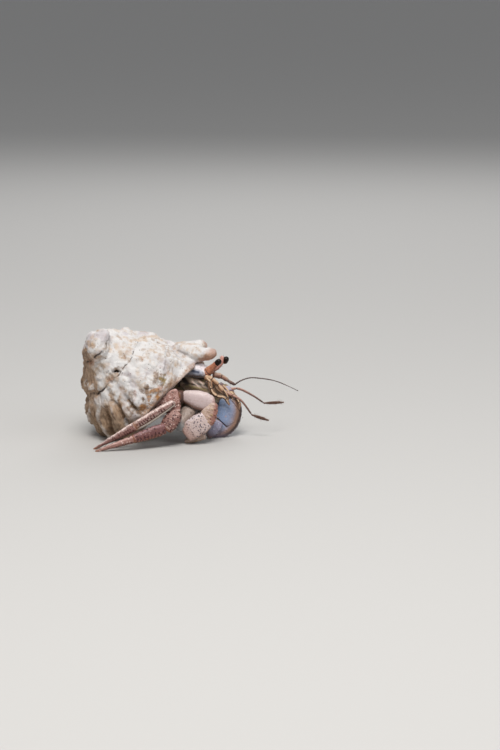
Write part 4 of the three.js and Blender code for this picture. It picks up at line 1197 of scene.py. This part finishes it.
def feelers():
    # antennas with their whips, antennules with their paddles, and the mouth limbs, thin ones last
    paths = {  # right, left
        "antenna": ([(4.6, -0.6, 17.3), (6.6, -1.7, 16.9), (8.2, -2.1, 15.5), (9.4, -2.45, 13.7)],
                    [(6.6, 3.5, 17.3), (9.2, 4.1, 16.5), (11.2, 4.4, 15.1), (12.9, 4.7, 14.05)]),
        "whip": (
            [(9.3, -2.45, 13.8), (10.4, -2.8, 12.5), (11.8, -3.2, 11.4), (13.8, -4, 9.1), (15.1, -4.6, 6.6)],
            [(12.7, 4.65, 14.1), (14.6, 5.2, 15.2), (17.1, 6, 15.8), (20.5, 7, 15.4), (24.2, 8, 14.5),
             (27.9, 9, 12.8), (30.8, 9.8, 11.2)]),
        "antennule": (
            [(8.2, 0.3, 14.4), (10.9, 0, 12.6), (14.3, -0.3, 10.9), (17.7, -0.8, 6.6)],
            [(8.4, 1.7, 14.3), (11, 2, 13.4), (13.7, 2.4, 13.5), (17.7, 2.8, 11.5), (21.1, 3.2, 9.1)]),
        "paddleTip": (vec(22.4, -1.2, 5.1), vec(26.7, 3.8, 9.2)),
        "mouthLimb": (
            [(5.1, -0.9, 17.3), (5.9, -1.7, 16.5), (6.1, -2.2, 14.9), (6.9, -2.5, 13.2), (8.2, -2.5, 12.4),
             (9.9, -2.1, 11.9), (11.4, -1.7, 9.6)],
            [(7.8, 3.4, 13.8), (9.8, 3, 13.2), (11.6, 2, 12.6), (13.4, 0.2, 11.2), (14.2, -0.4, 9.6),
             (14, -0.6, 8)]),
    }
    innerLimbs = [  # half width and path of the thin inner ones
        (0.36, [(7, -0.9, 15.9), (7.6, -1.4, 14.7), (8.6, -1.6, 13.6), (9.6, -1.5, 12.9)]),
        (0.34, [(8.6, 0.2, 14.9), (9.6, -0.2, 13.8), (10.6, -0.6, 12.3), (11.2, -0.9, 10.8)]),
        (0.34, [(9.4, 1.9, 14.6), (10.8, 1.3, 13.2), (12, 0.4, 11.4), (12.5, 0, 10)])]
    fine = dict(side=headLeft, columns=24, grains=0, swell=0.02, nose=0.3)
    # the palps' band is a painted highlight along their upper front
    palp = dict(fine, paint="horn", band=((0, -1, 0.5), 26, 0.9))
    for k, hand in enumerate(("Right", "Left")):
        start, end = np.array(paths["antennule"][k][-1], float), paths["paddleTip"][k]
        plate("antenna" + hand, dict(
            fine, path=paths["antenna"][k], wide=[0.85, 0.72, 0.78, 0.54, 0.58, 0.4, 0.42, 0.34],
            columns=40, rows=130, rings=[0.34, 0.66], paint=("horn", "pinkish")[k], keels=[(up, 25, 0.05)],
            # the antenna's band is a painted highlight along its top
            band=((0, -0.5, 1), 30, 0.5), hair=20), ending="Stem")
        plate("whip" + hand, dict(
            fine, path=paths["whip"][k], side=up, wide=[0.26, 0.23, 0.2, 0.14], rows=220, nose=0.2,
            paint="dusk", rings=np.linspace(0.03, 0.97, 40), columns=16), ending="Lash")
        plate("antennule" + hand, dict(
            fine, path=paths["antennule"][k], wide=[0.46, 0.38, 0.34, 0.3, 0.26, 0.24], rows=150,
            paint="pinkish", rings=[0.36, 0.97]), ending="Rod")
        plate("paddle" + hand, dict(
            fine, path=[start - 0.2 * unit(end - start), end], side=(0, 1, 0), wide=[0.2, 0.26, 0.26, 0.16],
            deep=[0.24, 0.5, 0.52, 0.24], nose=0.25, paint="rusty", rings=np.linspace(0.1, 0.92, 12),
            hair=26), ending="Blade")
        plate("mouthLimb" + hand, dict(
            palp, path=paths["mouthLimb"][k], wide=[0.8, 0.7, 0.6, 0.62, 0.5, 0.5, 0.3],
            deep=[0.6, 0.6, 0.5, 0.5, 0.4, 0.4, 0.22], columns=48, rows=150, rings=[0.32, 0.55, 0.8],
            lines=[((0, -1, -0.9), 18, 0.9), ((0, -0.1, 1), 14, 0.8)], hair=46), ending="Palp")
    for i, (width, path) in enumerate(innerLimbs):
        plate(f"innerLimb{i}", dict(
            palp, path=path, wide=[width * 0.8, width, width * 0.8, width * 0.5], rows=60, nose=0.2,
            lines=[((0, -1, -0.9), 18, 0.9)], hair=12, free=True), ending="Palp")


bristle = {
    "length": (0.35, 0.95),  # least and most, as for the lean
    "lean": (0.5, 1.4),  # how far it leans towards the tip of its segment
    "radius": 0.038,
    "patch": 0.003,  # its size on the map
}


def bristles():
    # stiff hairs on the plates, each a thin curved cone of four rings of three points that leans towards
    # the tip; on the OFBake map each is a small patch at its root's place
    groups = [entry for entry in hairRoots if entry[-1]]
    points, uv = [], []
    steps = np.array([0.0, 0.4, 0.75, 1.0])
    turn = circle(3)
    for index, (node, grid, out, section, count) in enumerate(groups):
        rng = np.random.default_rng(sum(map(ord, node)))
        row = (rng.random(count) ** 0.8 * (grid.shape[0] - 24)).astype(int) + 14
        column = rng.integers(0, grid.shape[1], count)
        root, normal = grid[row, column], out[row, column]
        ahead = unit(grid[np.minimum(row + 6, grid.shape[0] - 1), column] - root)
        length = rng.uniform(*bristle["length"], count)[:, None, None]
        towards = ahead * rng.uniform(*bristle["lean"], count)[:, None]
        lean = unit(normal + towards + rng.normal(0, 0.25, (count, 3)))
        tipward = unit(lean + 0.6 * ahead)
        s = steps[None, :, None]
        curve = length * (lean[:, None] * s + 0.35 * tipward[:, None] * s**2)
        spine = root[:, None] - 0.05 * normal[:, None] + curve
        sideways = unit(np.cross(lean, normal + 0.01))
        upright = np.cross(sideways, lean)
        thick = bristle["radius"] * (1 - 0.92 * steps)[None, :, None, None]
        ring = np.cos(turn)[:, None] * sideways[:, None, None]
        ring = ring + np.sin(turn)[:, None] * upright[:, None, None]
        points.append((spine[:, :, None] + thick * ring).reshape(-1, 3))
        across, along = section["a"][row, column] / (2 * np.pi), section["t"][row, column]
        patch = np.stack([across, (index + along) / len(groups)], -1)
        inside = np.stack([np.tile(turn / 6.3, 4), np.repeat(steps, 3)], -1) * bristle["patch"]
        uv.append((patch[:, None] * 0.99 + inside).reshape(-1, 2))
    points, uv = np.concatenate(points), np.concatenate(uv)
    points[:, 2] = np.maximum(points[:, 2], 0.01)
    start = np.arange(0, len(points), 12)[:, None, None]
    step, side = (values.ravel() for values in crossed(np.arange(3), np.arange(3)))
    a, b = step * 3 + side, step * 3 + (side + 1) % 3
    sides = (start + np.stack([a, b, b + 3, a + 3], -1)).reshape(-1, 4)
    ends = np.concatenate([start[:, 0] + np.array(corners) for corners in ((2, 1, 0), (9, 10, 11))])
    along = np.tile(np.repeat(steps, 3), len(start))
    pieceOf("bristles", points, [sides, ends], {"along": along}, bristleMaterial(), "leg", uv=uv)


def bristleMaterial():
    # brown at the root, straw-coloured at the tip
    m = Surface("bristle", (0.12, 0.06, 0.035), {})
    m.over((0.42, 0.28, 0.18), "along")
    m.over((0.2, 0.1, 0.06), m.cloud(1.0), 0.5)
    return m.done(Roughness=0.45)


studio = {
    "lens": 100,
    "aim": vec(17.1, 0, 17.9) + toPart,  # what the camera looks at
    "elevation": 12,  # degrees
    "distance": 583.3,
    "lamps": [  # place in metres, energy, size, colour
        ((-0.01, -0.33, 0.56), 3.65, 0.3, (1.0, 0.98, 0.95)),
        ((0.45, -0.3, 0.35), 0.7, 0.5, (0.95, 0.97, 1.0)),
        ((0.05, 0.5, 0.45), 1.3, 0.5, (1.0, 1.0, 1.0))],
    "sky": ((0.88, 0.9, 0.93, 1), 0.33),
    "floor": (0.53, 0.52, 0.505, 1),
    "floorReach": 30.0,
}


def aimed(thing, place, towards):
    # a camera or lamp put at a place and turned to look along a direction
    thing.location = place
    thing.rotation_mode = "QUATERNION"
    thing.rotation_quaternion = Vector(towards).to_track_quat("-Z", "Y")
    bpy.context.scene.collection.objects.link(thing)


def stage():
    # the camera, three lamps towards the origin, a plain floor and an even sky
    scene = bpy.context.scene
    camera = bpy.data.objects.new("camera", bpy.data.cameras.new("camera"))
    camera.data.lens = studio["lens"]
    camera.data.sensor_width = 36
    camera.data.clip_start, camera.data.clip_end = 0.01, 100
    elevation = math.radians(studio["elevation"])
    back = Vector((0, -math.cos(elevation), math.sin(elevation)))
    aimed(camera, Vector(studio["aim"]) * mm + back * studio["distance"] * mm, -back)
    scene.camera = camera
    for i, (place, energy, size, tint) in enumerate(studio["lamps"]):
        lamp = bpy.data.objects.new(f"lamp{i}", bpy.data.lights.new(f"lamp{i}", "AREA"))
        lamp.data.energy, lamp.data.size, lamp.data.color = energy, size, tint
        aimed(lamp, place, -Vector(place))
    corners = np.array([(-1, -1, 0), (1, -1, 0), (1, 1, 0), (-1, 1, 0)]) * studio["floorReach"]
    floor, _ = rawMesh("floor", corners, [np.array([[0, 1, 2, 3]])])
    material, _, shader = newMaterial("floorPaint")
    shader.inputs["Base Color"].default_value = studio["floor"]
    shader.inputs["Roughness"].default_value = 0.9
    floor.data.materials.append(material)
    scene.world = bpy.data.worlds.new("studio")
    scene.world.use_nodes = True
    sky = scene.world.node_tree.nodes["Background"]
    sky.inputs["Color"].default_value, sky.inputs["Strength"].default_value = studio["sky"]
    scene.view_settings.view_transform = "Standard"


stage()
materials = {name: cuticle(name + "Plate", paint) for name, paint in paints.items()}
print("stage and plate finishes done")
shellPiece()
print("shell done")
limbs()
print("limbs done")
skin()
head()
print("skin and head done")
feelers()
bristles()
print("feelers and bristles done")
